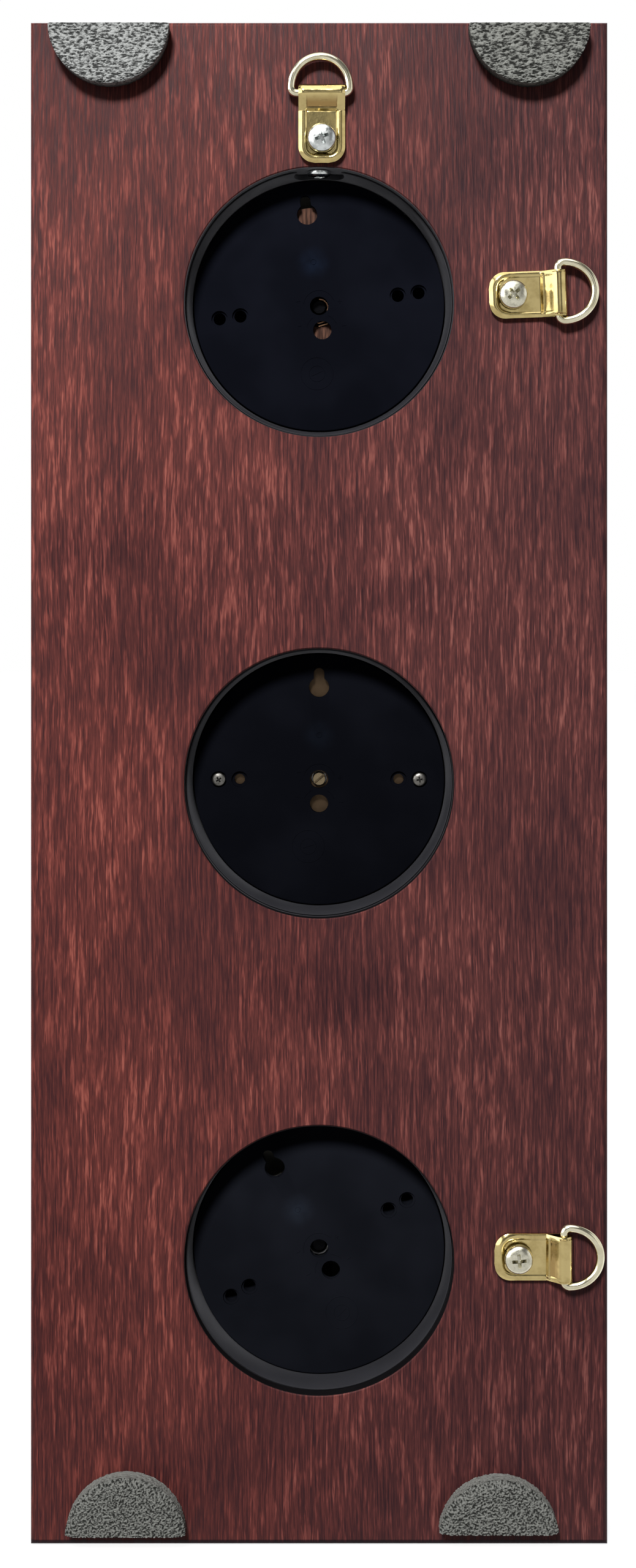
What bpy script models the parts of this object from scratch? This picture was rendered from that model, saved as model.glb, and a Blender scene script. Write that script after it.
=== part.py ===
"""Wall weather station: thermometer, barometer and hygrometer in one wooden board.

Metres, +Z up. The back of the board faces +Y and the dials face -Y. The origin is the point inside
the top ring where a nail bears, on the plane of the wall. Left and right are as seen from the back.
Depths are measured from the back face of the board towards the dials.
"""

import math

import bmesh
import bpy

# Fits and mesh fineness
CLEARANCE = 0.0003
OVERRUN = 0.002
WELD = 0.000001
SHARP_ANGLE = 35
ROUND_SEGMENTS = 36
MEDIUM_SEGMENTS = 18
SMALL_SEGMENTS = 10
TINY_SEGMENTS = 8

# Board
BOARD_WIDTH = 0.130
BOARD_HEIGHT = 0.343
BOARD_THICKNESS = 0.018
BOARD_CHAMFER = 0.001
BOARD_ROUND = 0.003
BOARD_ROUND_STEPS = 3
HIGHEST_WELL_TO_END = 0.063
LOWEST_WELL_TO_END = 0.064
WELL_RADIUS = 0.0304
WELL_DEPTH = 0.012
BORE_SLACK = 0.0005

# Foam pads, cut off straight towards the near edge of the board
PAD_RADIUS = 0.0135
PAD_THICKNESS = 0.005
PAD_EASE = 0.0006
TOP_PAD_HEIGHT = 0.0134
TOP_PAD_MARGIN = 0.0014
TOP_PAD_SIDE_MARGIN = 0.0045
BOTTOM_LEFT_PAD_HEIGHT = 0.0127
BOTTOM_LEFT_PAD_MARGIN = 0.0042
BOTTOM_LEFT_PAD_SIDE_MARGIN = 0.0082
BOTTOM_RIGHT_PAD_HEIGHT = 0.0117
BOTTOM_RIGHT_PAD_MARGIN = 0.0047
BOTTOM_RIGHT_PAD_SIDE_MARGIN = 0.0113

# Hangers: a strap folded over the straight side of a wire ring, held by one screw
STRAP_WIDTH = 0.0102
STRAP_LENGTH = 0.0153
STRAP_THICKNESS = 0.0006
STRAP_CORNER = 0.0035
STRAP_RAMP = 0.0037
STRAP_LEAF_GAP = 0.0003
RING_WIRE_RADIUS = 0.00095
RING_PLAY = 0.00045
RING_HALF_WIDTH = 0.00655
RING_REACH = 0.0082
RING_CORNER = 0.0013
RING_SLIP = 0.00035
HANGER_SCREW_PLACE = 0.0101
HANGER_SCREW_RADIUS = 0.0015
HANGER_SCREW_LENGTH = 0.012
HANGER_HEAD_RADIUS = 0.0032
HANGER_HEAD_HEIGHT = 0.0021
TOP_HANGER_DROP = 0.0165
TOP_HANGER_SHIFT = -0.0006
UPPER_SIDE_HANGER_RISE = 0.0017
UPPER_SIDE_HANGER_REACH = 0.0536
LOWER_SIDE_HANGER_RISE = 0.0013
LOWER_SIDE_HANGER_REACH = 0.0548
UPPER_SIDE_HANGER_TURN = -88
LOWER_SIDE_HANGER_TURN = -90
HEAD_DOME_SHARES = ((0.5, 1.0), (0.85, 0.75), (1.0, 0.25))

# Sleeves deep in the wells, with sloping mouths; a screw in the top well's wall has a notch in its sleeve
SLEEVE_WALL = 0.0011
SLEEVE_BACK_DEPTH = 0.0026
SLEEVE_LIP = 0.0002
SLEEVE_SLOPE = 0.0048
NOTCH_LENGTH = 0.0114
NOTCH_WIDTH = 0.0068
SLEEVE_SCREW_DEPTH = 0.0046
SLEEVE_SCREW_RADIUS = 0.0012
SLEEVE_SCREW_LENGTH = 0.003
SLEEVE_HEAD_RADIUS = 0.0027
SLEEVE_HEAD_HEIGHT = 0.0012

# Moulded cases
CASE_SLACK = 0.0003
CASE_BACK_DEPTH = 0.008
CASE_WALL = 0.0015
CASE_EASE = 0.0004
FLANGE_WIDTH = 0.0048
FLANGE_THICKNESS = 0.0018
CENTRE_HOLE_RADIUS = 0.0021
LOWER_HOLE_PLACE = 0.0056
LOWER_HOLE_RADIUS = 0.0021
OUTER_HOLE_PLACE = 0.023
INNER_HOLE_PLACE = 0.0182
SIDE_HOLE_RADIUS = 0.0014
COUNTERBORE_RADIUS = 0.00185
COUNTERBORE_DEPTH = 0.0006
KEYHOLE_PLACE = 0.0211
KEYHOLE_RADIUS = 0.0023
KEYHOLE_NECK_RADIUS = 0.0012
KEYHOLE_TOP = 0.0255
BOSS_RADIUS = 0.0022
BOSS_HEIGHT = 0.005
BOSS_END_WALL = 0.0008

# Dial side of each instrument
DIAL_THICKNESS = 0.0005
DIAL_MARGIN = 0.0015
DIAL_HOLE_RADIUS = 0.0013
SPACER_WALL = 0.0026
SPACER_HEIGHT = 0.004
GLASS_THICKNESS = 0.0016
GLASS_MARGIN = 0.0007
BEZEL_WALL = 0.0022
BEZEL_LIP = 0.0012
BEZEL_OPENING_RADIUS = 0.030
BEZEL_ROUND_SHARES = ((0.0, 0.0), (0.0, 0.62), (0.25, 0.86), (0.75, 1.0))
NEEDLE_LENGTH = 0.025
NEEDLE_TAIL = 0.008
NEEDLE_THICKNESS = 0.0004
NEEDLE_WIDTH = 0.0018
NEEDLE_TIP_WIDTH = 0.0004
NEEDLE_LIFT = 0.0014
HUB_RADIUS = 0.0022
HUB_HEIGHT = 0.0015
ARBOR_RADIUS = 0.001
ARBOR_TIP_RADIUS = 0.0005

# Thermometer and hygrometer: a coil on the arbor, its tail held by a peg on the bracket
BRACKET_DEPTH = 0.016
BRACKET_THICKNESS = 0.0008
BRACKET_HALF_WIDTH = 0.003
BRACKET_POST_PLACE = 0.016
BRACKET_POST_RADIUS = 0.0015
COIL_STRIP_HEIGHT = 0.003
COIL_STRIP_THICKNESS = 0.00025
COIL_INNER_RADIUS = 0.0019
COIL_PITCH = 0.0007
COIL_TURNS = 3.5
COIL_STEPS_PER_TURN = 12
COIL_TAIL_END = 0.0087
COIL_PEG_RADIUS = 0.0006
COLLET_RADIUS = 0.00145
STRIP_HALF_WIDTH = 0.0065
STRIP_REACH = 0.0228
STRIP_HOLE_RADIUS = 0.0047
STRIP_THICKNESS = 0.0009

# Barometer movement
FRAME_PLATE_RADIUS = 0.0255
FRAME_PLATE_THICKNESS = 0.001
CASE_SCREW_RADIUS = 0.0011
CASE_HEAD_RADIUS = 0.00155
CASE_HEAD_HEIGHT = 0.001
CASE_SCREW_LENGTH = 0.003
ADJUSTER_RADIUS = 0.0015
ADJUSTER_SINK = 0.0007
ADJUSTER_SLOT_WIDTH = 0.0005
ADJUSTER_SLOT_DEPTH = 0.0006
ADJUSTER_SLOT_TURN = 40
BUSHING_RADIUS = 0.0032
BUSHING_HEIGHT = 0.0007
CAPSULE_RADIUS = 0.014
CAPSULE_STUD_RADIUS = 0.0024
CAPSULE_STUD_HEIGHT = 0.0004
CAPSULE_HEIGHT = 0.0015
CAPSULE_RIPPLE = 0.0003
CAPSULE_RIPPLE_COUNT = 2
ROCKER_OFFSET = 0.0013
ROCKER_SHAFT_RADIUS = 0.0006
ROCKER_LIFT = 0.0014
ROCKER_PLATE_THICKNESS = 0.0008
ROCKER_FINGER_WIDTH = 0.0007
ROCKER_FINGER_OVERLAP = 0.0001
ROCKER_BAR_HEIGHT = 0.0006
ROCKER_STROKE = 0.0008
ROCKER_RISER_WIDTH = 0.0023
ROCKER_FOOT_WIDTH = 0.0012
ROCKER_FOOT_REACH = 0.0018
ROCKER_FOOT_LIFT = 0.00005
EAR_INNER_PLACE = 0.0153
EAR_OUTER_PLACE = 0.0206
EAR_THICKNESS = 0.0008
EAR_RADIUS = 0.0016
GEAR_MODULE = 0.00045
GEAR_PLAY = 0.00005
PINION_TEETH = 10
SECTOR_TEETH = 60
SECTOR_TEETH_EACH_SIDE = 5
PINION_ADDENDUM = 0.00034
PINION_DEDENDUM = 0.00055
SECTOR_ADDENDUM = 0.0003
SECTOR_DEDENDUM = 0.0005
PINION_TOOTH_SHARES = (0.62, 0.40, 0.12)
SECTOR_TOOTH_SHARES = (0.62, 0.40, 0.16)
SECTOR_DEPTH = 0.017
SECTOR_THICKNESS = 0.0007
SECTOR_HUB_RADIUS = 0.0017
SECTOR_TAIL_WIDTH = 0.0007
SECTOR_TAIL_LENGTH = 0.003
SECTOR_RIM = 0.002
SECTOR_SPOKE_ANGLE = 7
SECTOR_HUB_ANGLE = 60
SECTOR_WINDOW_INNER_RADIUS = 0.0041
PIVOT_RADIUS = 0.0007
PINION_BELOW_SECTOR = 0.00005
BRIDGE_THICKNESS = 0.0007
BRIDGE_CORNER = 0.0025
BRIDGE_POST_RADIUS = 0.0013
BRIDGE_LEFT_PLACE = 0.018
BRIDGE_RIGHT_PLACE = 0.0175
BRIDGE_RIGHT_SPREAD = 0.007
HAIRSPRING_INNER_RADIUS = 0.0016
HAIRSPRING_PITCH = 0.0011
HAIRSPRING_TURNS = 2.5
HAIRSPRING_HEIGHT = 0.0004
HAIRSPRING_THICKNESS = 0.00015

# Turn of each case in its well, seen from the back, in degrees
CASE_TURNS = {"thermometer": 7.5, "barometer": 0.0, "hygrometer": 28.8}
# Scale of each dial: lowest and highest mark, half of its sweep in degrees, and the reading shown
SCALES = {
    "thermometer": (-20, 50, 135, 20),
    "barometer": (960, 1060, 150, 1015),
    "hygrometer": (0, 100, 135, 55),
}

# Places, depths and radii that follow from the sizes above
UPPER_WELL_SPACING = BOARD_HEIGHT / 2 - HIGHEST_WELL_TO_END
LOWER_WELL_SPACING = BOARD_HEIGHT / 2 - LOWEST_WELL_TO_END
SLEEVE_OUTER_RADIUS = WELL_RADIUS - CLEARANCE
SLEEVE_INNER_RADIUS = SLEEVE_OUTER_RADIUS - SLEEVE_WALL
CASE_RADIUS = SLEEVE_INNER_RADIUS - CASE_SLACK
CASE_INNER_RADIUS = CASE_RADIUS - CASE_WALL
CASE_FLOOR_DEPTH = CASE_BACK_DEPTH + CASE_WALL
FLANGE_RADIUS = CASE_RADIUS + FLANGE_WIDTH
FLANGE_BACK_DEPTH = BOARD_THICKNESS + CLEARANCE
FLANGE_FRONT_DEPTH = FLANGE_BACK_DEPTH + FLANGE_THICKNESS
DIAL_BACK_DEPTH = FLANGE_FRONT_DEPTH + CLEARANCE
DIAL_FRONT_DEPTH = DIAL_BACK_DEPTH + DIAL_THICKNESS
SPACER_BACK_DEPTH = DIAL_FRONT_DEPTH + CLEARANCE
GLASS_BACK_DEPTH = SPACER_BACK_DEPTH + SPACER_HEIGHT + CLEARANCE
GLASS_FRONT_DEPTH = GLASS_BACK_DEPTH + GLASS_THICKNESS
BEZEL_BORE_RADIUS = FLANGE_RADIUS + CLEARANCE
BEZEL_RADIUS = BEZEL_BORE_RADIUS + BEZEL_WALL
LIP_BACK_DEPTH = GLASS_FRONT_DEPTH + CLEARANCE
BEZEL_FRONT_DEPTH = LIP_BACK_DEPTH + BEZEL_LIP
NEEDLE_DEPTH = DIAL_FRONT_DEPTH + NEEDLE_LIFT
HUB_BACK_DEPTH = NEEDLE_DEPTH - CLEARANCE
HUB_FRONT_DEPTH = HUB_BACK_DEPTH + HUB_HEIGHT
LOOP_INNER_RADIUS = RING_WIRE_RADIUS + RING_PLAY
LOOP_RADIUS = LOOP_INNER_RADIUS + STRAP_THICKNESS / 2
RING_AXIS_HEIGHT = CLEARANCE + STRAP_THICKNESS + LOOP_INNER_RADIUS
STRAP_TOP = STRAP_THICKNESS * 2 + STRAP_LEAF_GAP - LOOP_INNER_RADIUS - STRAP_THICKNESS
FRAME_PLATE_DEPTH = CASE_FLOOR_DEPTH + CLEARANCE
FRAME_PLATE_FRONT = FRAME_PLATE_DEPTH + FRAME_PLATE_THICKNESS
BUSHING_DEPTH = FRAME_PLATE_FRONT + CLEARANCE
BUSHING_FRONT = BUSHING_DEPTH + BUSHING_HEIGHT
CAPSULE_DEPTH = BUSHING_FRONT + CLEARANCE
CAPSULE_FRONT = CAPSULE_DEPTH + CAPSULE_STUD_HEIGHT * 2 + CAPSULE_HEIGHT
ROCKER_DEPTH = FRAME_PLATE_FRONT + ROCKER_LIFT
ROCKER_BAR_DEPTH = CAPSULE_FRONT + ROCKER_STROKE
SECTOR_FRONT = SECTOR_DEPTH + SECTOR_THICKNESS
BRIDGE_DEPTH = SECTOR_FRONT + CLEARANCE
BRIDGE_FRONT = BRIDGE_DEPTH + BRIDGE_THICKNESS
PINION_RADIUS = GEAR_MODULE * PINION_TEETH / 2
SECTOR_RADIUS = GEAR_MODULE * SECTOR_TEETH / 2
PIVOT_PLACE = PINION_RADIUS + SECTOR_RADIUS + GEAR_PLAY
COIL_DEPTH = CASE_FLOOR_DEPTH + CLEARANCE * 5


def clear_scene():
    for item in list(bpy.data.objects):
        bpy.data.objects.remove(item)


def finish(name, colour, roughness, metallic=0.0, transmission=0.0):
    made = bpy.data.materials.new(name)
    made.use_nodes = True
    shader = made.node_tree.nodes["Principled BSDF"]
    shader.inputs["Base Color"].default_value = (*colour, 1)
    shader.inputs["Roughness"].default_value = roughness
    shader.inputs["Metallic"].default_value = metallic
    shader.inputs["Transmission Weight"].default_value = transmission
    return made


def finishes():
    return {
        "wood": finish("red_brown_wood", (0.15, 0.045, 0.04), 0.5),
        "foam": finish("grey_foam", (0.16, 0.17, 0.15), 0.95),
        "strap": finish("strap_metal", (0.55, 0.42, 0.22), 0.3, 1.0),
        "ring": finish("ring_metal", (0.62, 0.5, 0.3), 0.25, 1.0),
        "zinc": finish("zinc_screw", (0.7, 0.7, 0.68), 0.3, 1.0),
        "sleeve": finish("sleeve_plastic", (0.012, 0.012, 0.014), 0.45),
        "case": finish("case_plastic", (0.006, 0.007, 0.009), 0.35),
        "bezel": finish("bezel_brass", (0.72, 0.52, 0.2), 0.22, 1.0),
        "glass": finish("clear_glass", (0.95, 0.97, 0.96), 0.03, 0.0, 1.0),
        "spacer": finish("spacer_plastic", (0.75, 0.7, 0.55), 0.5),
        "dial": finish("dial_enamel", (0.85, 0.83, 0.75), 0.45),
        "needle": finish("needle_enamel", (0.01, 0.01, 0.012), 0.35),
        "steel": finish("spring_steel", (0.45, 0.45, 0.46), 0.3, 1.0),
        "copper": finish("bimetal", (0.5, 0.27, 0.15), 0.35, 1.0),
        "fibre": finish("brown_fibreboard", (0.2, 0.09, 0.06), 0.8),
        "brass": finish("movement_brass", (0.5, 0.38, 0.16), 0.35, 1.0),
    }


def empty(name, parent, location=(0, 0, 0), turn=0.0):
    """An axis or a place that other pieces hang from, turned about Y by some degrees."""
    made = bpy.data.objects.new(name, None)
    bpy.context.scene.collection.objects.link(made)
    made.parent = parent
    made.location = location
    made.rotation_euler = (0, math.radians(turn), 0)
    return made


def add(name, mesh, parent, material=None, location=(0, 0, 0), turns=(0, 0, 0)):
    made = bpy.data.objects.new(name, mesh)
    bpy.context.scene.collection.objects.link(made)
    made.parent = parent
    made.location = location
    made.rotation_euler = turns
    if material is None:
        made.hide_render = True
        made.display_type = "WIRE"
    else:
        mesh.materials.append(material)
    return made


def to_mesh(name, bm):
    bmesh.ops.remove_doubles(bm, verts=bm.verts, dist=WELD)
    bmesh.ops.recalc_face_normals(bm, faces=bm.faces)
    mesh = bpy.data.meshes.new(name)
    bm.to_mesh(mesh)
    bm.free()
    mesh.shade_smooth()
    mesh.set_sharp_from_angle(angle=math.radians(SHARP_ANGLE))
    return mesh


def turned(name, profile, segments=ROUND_SEGMENTS):
    """A mesh turned about the depth axis from (radius, depth) points.

    A profile that starts on the axis also ends there. Any other profile is closed into a ring.
    """
    bm = bmesh.new()
    verts = [bm.verts.new((radius, -depth, 0)) for radius, depth in profile]
    pairs = list(zip(verts, verts[1:]))
    if profile[0][0] > 0:
        pairs.append((verts[-1], verts[0]))
    edges = [bm.edges.new(pair) for pair in pairs]
    bmesh.ops.spin(
        bm, geom=verts + edges, cent=(0, 0, 0), axis=(0, 1, 0), angle=math.tau, steps=segments, use_merge=True
    )
    return to_mesh(name, bm)


def facing(across, up, depth):
    return (across, -depth, up)


def sideways(up, depth, across):
    return (across, -depth, up)


def endways(across, depth, up):
    return (across, -depth, up)


def prism(name, outline, low, high, place=facing):
    """An outline pushed straight from one level to another, in the plane that place names."""
    bm = bmesh.new()
    near = [bm.verts.new(place(a, b, low)) for a, b in outline]
    far = [bm.verts.new(place(a, b, high)) for a, b in outline]
    bm.faces.new(near)
    bm.faces.new(reversed(far))
    for index in range(len(outline)):
        bm.faces.new((near[index - 1], near[index], far[index], far[index - 1]))
    return to_mesh(name, bm)


def lofted(name, levels):
    """A solid through matching outlines, each given as (depth, points)."""
    bm = bmesh.new()
    rings = [[bm.verts.new(facing(a, b, depth)) for a, b in outline] for depth, outline in levels]
    bm.faces.new(rings[0])
    bm.faces.new(reversed(rings[-1]))
    for lower, upper in zip(rings, rings[1:]):
        for index in range(len(lower)):
            bm.faces.new((lower[index - 1], lower[index], upper[index], upper[index - 1]))
    return to_mesh(name, bm)


def ribbon(name, path, back, front):
    """An open strip along a flat path, as high as the two depths are apart."""
    bm = bmesh.new()
    low = [bm.verts.new(facing(a, b, back)) for a, b in path]
    high = [bm.verts.new(facing(a, b, front)) for a, b in path]
    for index in range(1, len(path)):
        bm.faces.new((low[index - 1], low[index], high[index], high[index - 1]))
    return to_mesh(name, bm)


def arc(centre, radius, start, stop, steps, rise=None):
    """Points on an arc, angles in degrees; rise gives an ellipse its other half axis."""
    rise = radius if rise is None else rise
    angles = [math.radians(start + (stop - start) * step / steps) for step in range(steps + 1)]
    return [(centre[0] + radius * math.cos(angle), centre[1] + rise * math.sin(angle)) for angle in angles]


def box_outline(left, right, bottom, top):
    return [(left, bottom), (right, bottom), (right, top), (left, top)]


def boolean(target, operation, tools):
    for tool in tools:
        modifier = target.modifiers.new(tool.name, "BOOLEAN")
        modifier.operation = operation
        modifier.solver = "EXACT"
        modifier.object = tool


def thicken(target, thickness):
    modifier = target.modifiers.new("sheet", "SOLIDIFY")
    modifier.thickness = thickness
    modifier.offset = 0
    modifier.use_even_offset = True


def rod(name, radius, back, front, parent, location=(0, 0, 0), turns=(0, 0, 0), segments=SMALL_SEGMENTS):
    """A plain cylinder that joins or cuts another piece."""
    profile = ((0, back), (radius, back), (radius, front), (0, front))
    return add(name, turned(name, profile, segments), parent, location=location, turns=turns)


UPWARDS = (-math.pi / 2, 0, 0)
ACROSS = (0, 0, math.pi / 2)


def pan_head_screw(name, head_radius, head_height, radius, length):
    """A screw whose head rests at depth zero, with its shank running to greater depth."""
    profile = [(0, -head_height)]
    profile += [(head_radius * out, -head_height * up) for out, up in HEAD_DOME_SHARES]
    profile += [(head_radius, 0), (radius, 0), (radius, length - radius), (0, length)]
    return turned(name, profile, SMALL_SEGMENTS)


def stadium(half_length, half_width, steps):
    """A slot outline that runs along its first axis."""
    reach = half_length - half_width
    return arc((reach, 0), half_width, -90, 90, steps) + arc((-reach, 0), half_width, 90, 270, steps)


def board_outline(inset):
    half_width = BOARD_WIDTH / 2 - inset
    half_height = BOARD_HEIGHT / 2 - inset
    return box_outline(-half_width, half_width, -half_height, half_height)


def board_mesh():
    levels = [(0, board_outline(BOARD_CHAMFER)), (BOARD_CHAMFER, board_outline(0))]
    for step in range(BOARD_ROUND_STEPS + 1):
        angle = math.pi / 2 * step / BOARD_ROUND_STEPS
        depth = BOARD_THICKNESS - BOARD_ROUND * (1 - math.sin(angle))
        levels.append((depth, board_outline(BOARD_ROUND * (1 - math.cos(angle)))))
    return lofted("board", levels)


def well_cutter(parent, name):
    bore = CASE_RADIUS + BORE_SLACK
    profile = [(0, -OVERRUN), (WELL_RADIUS, -OVERRUN), (WELL_RADIUS, WELL_DEPTH), (bore, WELL_DEPTH)]
    profile += [(bore, BOARD_THICKNESS + OVERRUN), (0, BOARD_THICKNESS + OVERRUN)]
    return add(name + "_well", turned(name + "_well", profile), parent)


def sleeve_screw_seat():
    """Height above the well's centre at which the flat side of the screw's head meets the round wall."""
    return math.sqrt(SLEEVE_OUTER_RADIUS ** 2 - SLEEVE_HEAD_RADIUS ** 2)


def sleeve_pilot(parent, name):
    """The screw's hole in the wood above the well, a little deeper than the screw is long."""
    top = sleeve_screw_seat() + SLEEVE_SCREW_LENGTH + CLEARANCE
    radius = SLEEVE_SCREW_RADIUS + CLEARANCE
    place = (0, -SLEEVE_SCREW_DEPTH, 0)
    return rod(name + "_pilot", radius, SLEEVE_INNER_RADIUS, top, parent, place, UPWARDS)


def hanger_pilot(parent, name):
    depth = HANGER_SCREW_LENGTH - STRAP_TOP - CLEARANCE - RING_AXIS_HEIGHT + OVERRUN
    radius = HANGER_SCREW_RADIUS + CLEARANCE
    place = (0, -RING_AXIS_HEIGHT, -HANGER_SCREW_PLACE)
    return rod(name + "_pilot", radius, -OVERRUN, depth, parent, place)


def board(parent, looks, units, hangers):
    made = add("board", board_mesh(), parent, looks["wood"])
    tools = [well_cutter(unit, name) for name, unit in units.items()]
    tools.append(sleeve_pilot(units["thermometer"], "thermometer"))
    tools += [hanger_pilot(hanger, name) for name, hanger in hangers.items()]
    boolean(made, "DIFFERENCE", tools)


def pad_outline(height, inset):
    """A disc with its upper side cut off straight, drawn round the disc's centre."""
    radius = PAD_RADIUS - inset
    cut = height - PAD_RADIUS - inset
    start = 180 - math.degrees(math.asin(cut / radius))
    stop = 360 + math.degrees(math.asin(cut / radius))
    return arc((0, 0), radius, start, stop, MEDIUM_SEGMENTS)


def pad(name, parent, looks, side, side_margin, height, margin, at_top):
    """A half-round pad near one corner; side is 1 on the left and -1 on the right."""
    levels = [
        (-CLEARANCE, pad_outline(height, 0)),
        (-CLEARANCE - PAD_THICKNESS + PAD_EASE, pad_outline(height, 0)),
        (-CLEARANCE - PAD_THICKNESS, pad_outline(height, PAD_EASE)),
    ]
    up = BOARD_HEIGHT / 2 - margin - (height - PAD_RADIUS)
    turn = 0 if at_top else math.pi
    across = side * (BOARD_WIDTH / 2 - side_margin - PAD_RADIUS)
    place = (across, 0, up if at_top else -up)
    add(name, lofted(name, levels), parent, looks["foam"], place, (0, turn, 0))


def pads(parent, looks):
    top = (TOP_PAD_SIDE_MARGIN, TOP_PAD_HEIGHT, TOP_PAD_MARGIN, True)
    pad("pad_top_left", parent, looks, 1, *top)
    pad("pad_top_right", parent, looks, -1, *top)
    left = (BOTTOM_LEFT_PAD_SIDE_MARGIN, BOTTOM_LEFT_PAD_HEIGHT, BOTTOM_LEFT_PAD_MARGIN, False)
    pad("pad_bottom_left", parent, looks, 1, *left)
    right = (BOTTOM_RIGHT_PAD_SIDE_MARGIN, BOTTOM_RIGHT_PAD_HEIGHT, BOTTOM_RIGHT_PAD_MARGIN, False)
    pad("pad_bottom_right", parent, looks, -1, *right)


def strap_path():
    """Middle line of the folded strap as (height, run) points, with the ring's axis at zero."""
    low = -LOOP_RADIUS
    high = STRAP_TOP - STRAP_THICKNESS / 2
    bearing = math.degrees(math.atan2(high, -STRAP_RAMP)) % 360
    touch = bearing - math.degrees(math.acos(LOOP_RADIUS / math.hypot(STRAP_RAMP, high)))
    loop = arc((0, 0), LOOP_RADIUS, -90, touch, 8)
    return [(-STRAP_LENGTH, low)] + loop + [(-STRAP_RAMP, high), (-STRAP_LENGTH, high)]


def strap_mesh(name):
    bm = bmesh.new()
    half = STRAP_WIDTH / 2
    sides = [[bm.verts.new((side, rise, run)) for run, rise in strap_path()] for side in (-half, half)]
    for index in range(1, len(sides[0])):
        bm.faces.new((sides[0][index - 1], sides[0][index], sides[1][index], sides[1][index - 1]))
    return to_mesh(name, bm)


def strap_plan():
    """The strap seen from behind: square at the ring, round-cornered at the far end."""
    half = STRAP_WIDTH / 2
    top = LOOP_RADIUS + OVERRUN
    end = -STRAP_LENGTH + STRAP_CORNER
    inner = half - STRAP_CORNER
    outline = [(half + OVERRUN, top), (-half - OVERRUN, top), (-half - OVERRUN, end)]
    outline += arc((-inner, end), STRAP_CORNER, 180, 270, 4) + arc((inner, end), STRAP_CORNER, 270, 360, 4)
    return outline + [(half + OVERRUN, end)]


def strap(name, hanger, looks):
    made = add(name + "_strap", strap_mesh(name + "_strap"), hanger, looks["strap"])
    thicken(made, STRAP_THICKNESS)
    reach = LOOP_RADIUS + STRAP_THICKNESS + OVERRUN
    plan = add(name + "_plan", prism(name + "_plan", strap_plan(), -reach, reach), hanger)
    hole_radius = HANGER_SCREW_RADIUS + CLEARANCE
    hole = rod(name + "_hole", hole_radius, -reach, reach, hanger, (0, 0, -HANGER_SCREW_PLACE))
    boolean(made, "INTERSECT", [plan])
    boolean(made, "DIFFERENCE", [hole])


def hanger_screw(name, hanger, looks):
    mesh = pan_head_screw(
        name + "_screw", HANGER_HEAD_RADIUS, HANGER_HEAD_HEIGHT, HANGER_SCREW_RADIUS, HANGER_SCREW_LENGTH
    )
    add(name + "_screw", mesh, hanger, looks["zinc"], (0, STRAP_TOP + CLEARANCE, -HANGER_SCREW_PLACE))


def ring_outline():
    corner = RING_HALF_WIDTH - RING_CORNER
    points = arc((corner, RING_CORNER), RING_CORNER, -90, 0, 3)
    points += arc((0, RING_CORNER), RING_HALF_WIDTH, 0, 180, 14, RING_REACH - RING_CORNER)[1:-1]
    return points + arc((-corner, RING_CORNER), RING_CORNER, 180, 270, 3)


def ring(name, hanger, looks):
    curve = bpy.data.curves.new(name + "_ring", "CURVE")
    curve.dimensions = "3D"
    curve.bevel_depth = RING_WIRE_RADIUS
    curve.bevel_resolution = 2
    spline = curve.splines.new("POLY")
    outline = ring_outline()
    spline.points.add(len(outline) - 1)
    for point, (across, up) in zip(spline.points, outline):
        point.co = (across, 0, up, 1)
    spline.use_cyclic_u = True
    spline.use_smooth = True
    curve.materials.append(looks["ring"])
    made = bpy.data.objects.new(name + "_ring", curve)
    bpy.context.scene.collection.objects.link(made)
    made.parent = hanger
    made.location = (RING_SLIP, 0, 0)


def hanger_axes(parent):
    """The ring axis of each hanger; a hanger's own up points from its screw to its ring.

    The side hangers stand beside the upper and the lower well, a little above the wells' middles.
    """
    upper = UPPER_WELL_SPACING + UPPER_SIDE_HANGER_RISE
    lower = LOWER_SIDE_HANGER_RISE - LOWER_WELL_SPACING
    places = {
        "top_hanger": (TOP_HANGER_SHIFT, BOARD_HEIGHT / 2 - TOP_HANGER_DROP, 0),
        "upper_side_hanger": (-UPPER_SIDE_HANGER_REACH, upper, UPPER_SIDE_HANGER_TURN),
        "lower_side_hanger": (-LOWER_SIDE_HANGER_REACH, lower, LOWER_SIDE_HANGER_TURN),
    }
    return {
        name: empty(name, parent, (across, RING_AXIS_HEIGHT, up), turn)
        for name, (across, up, turn) in places.items()
    }


def sleeve(name, unit, looks):
    """Ring that centres a case in its well."""
    front = WELL_DEPTH - CLEARANCE
    profile = [
        (SLEEVE_OUTER_RADIUS - SLEEVE_LIP, SLEEVE_BACK_DEPTH),
        (SLEEVE_OUTER_RADIUS, SLEEVE_BACK_DEPTH),
        (SLEEVE_OUTER_RADIUS, front),
        (SLEEVE_INNER_RADIUS, front),
        (SLEEVE_INNER_RADIUS, SLEEVE_BACK_DEPTH + SLEEVE_SLOPE),
    ]
    return add(name + "_sleeve", turned(name + "_sleeve", profile), unit, looks["sleeve"])


def sleeve_notch(made, unit):
    """Cuts the room for the head of the screw in the well's wall."""
    outline = stadium(NOTCH_LENGTH / 2, NOTCH_WIDTH / 2, 4)
    mesh = prism("notch", outline, SLEEVE_INNER_RADIUS - OVERRUN, SLEEVE_OUTER_RADIUS + OVERRUN)
    boolean(made, "DIFFERENCE", [add("notch", mesh, unit, None, (0, -SLEEVE_SCREW_DEPTH, 0), UPWARDS)])


def sleeve_screw(unit_name, unit, looks):
    name = unit_name + "_sleeve_screw"
    mesh = pan_head_screw(
        name, SLEEVE_HEAD_RADIUS, SLEEVE_HEAD_HEIGHT, SLEEVE_SCREW_RADIUS, SLEEVE_SCREW_LENGTH
    )
    add(name, mesh, unit, looks["zinc"], (0, -SLEEVE_SCREW_DEPTH, sleeve_screw_seat()), UPWARDS)


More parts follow.
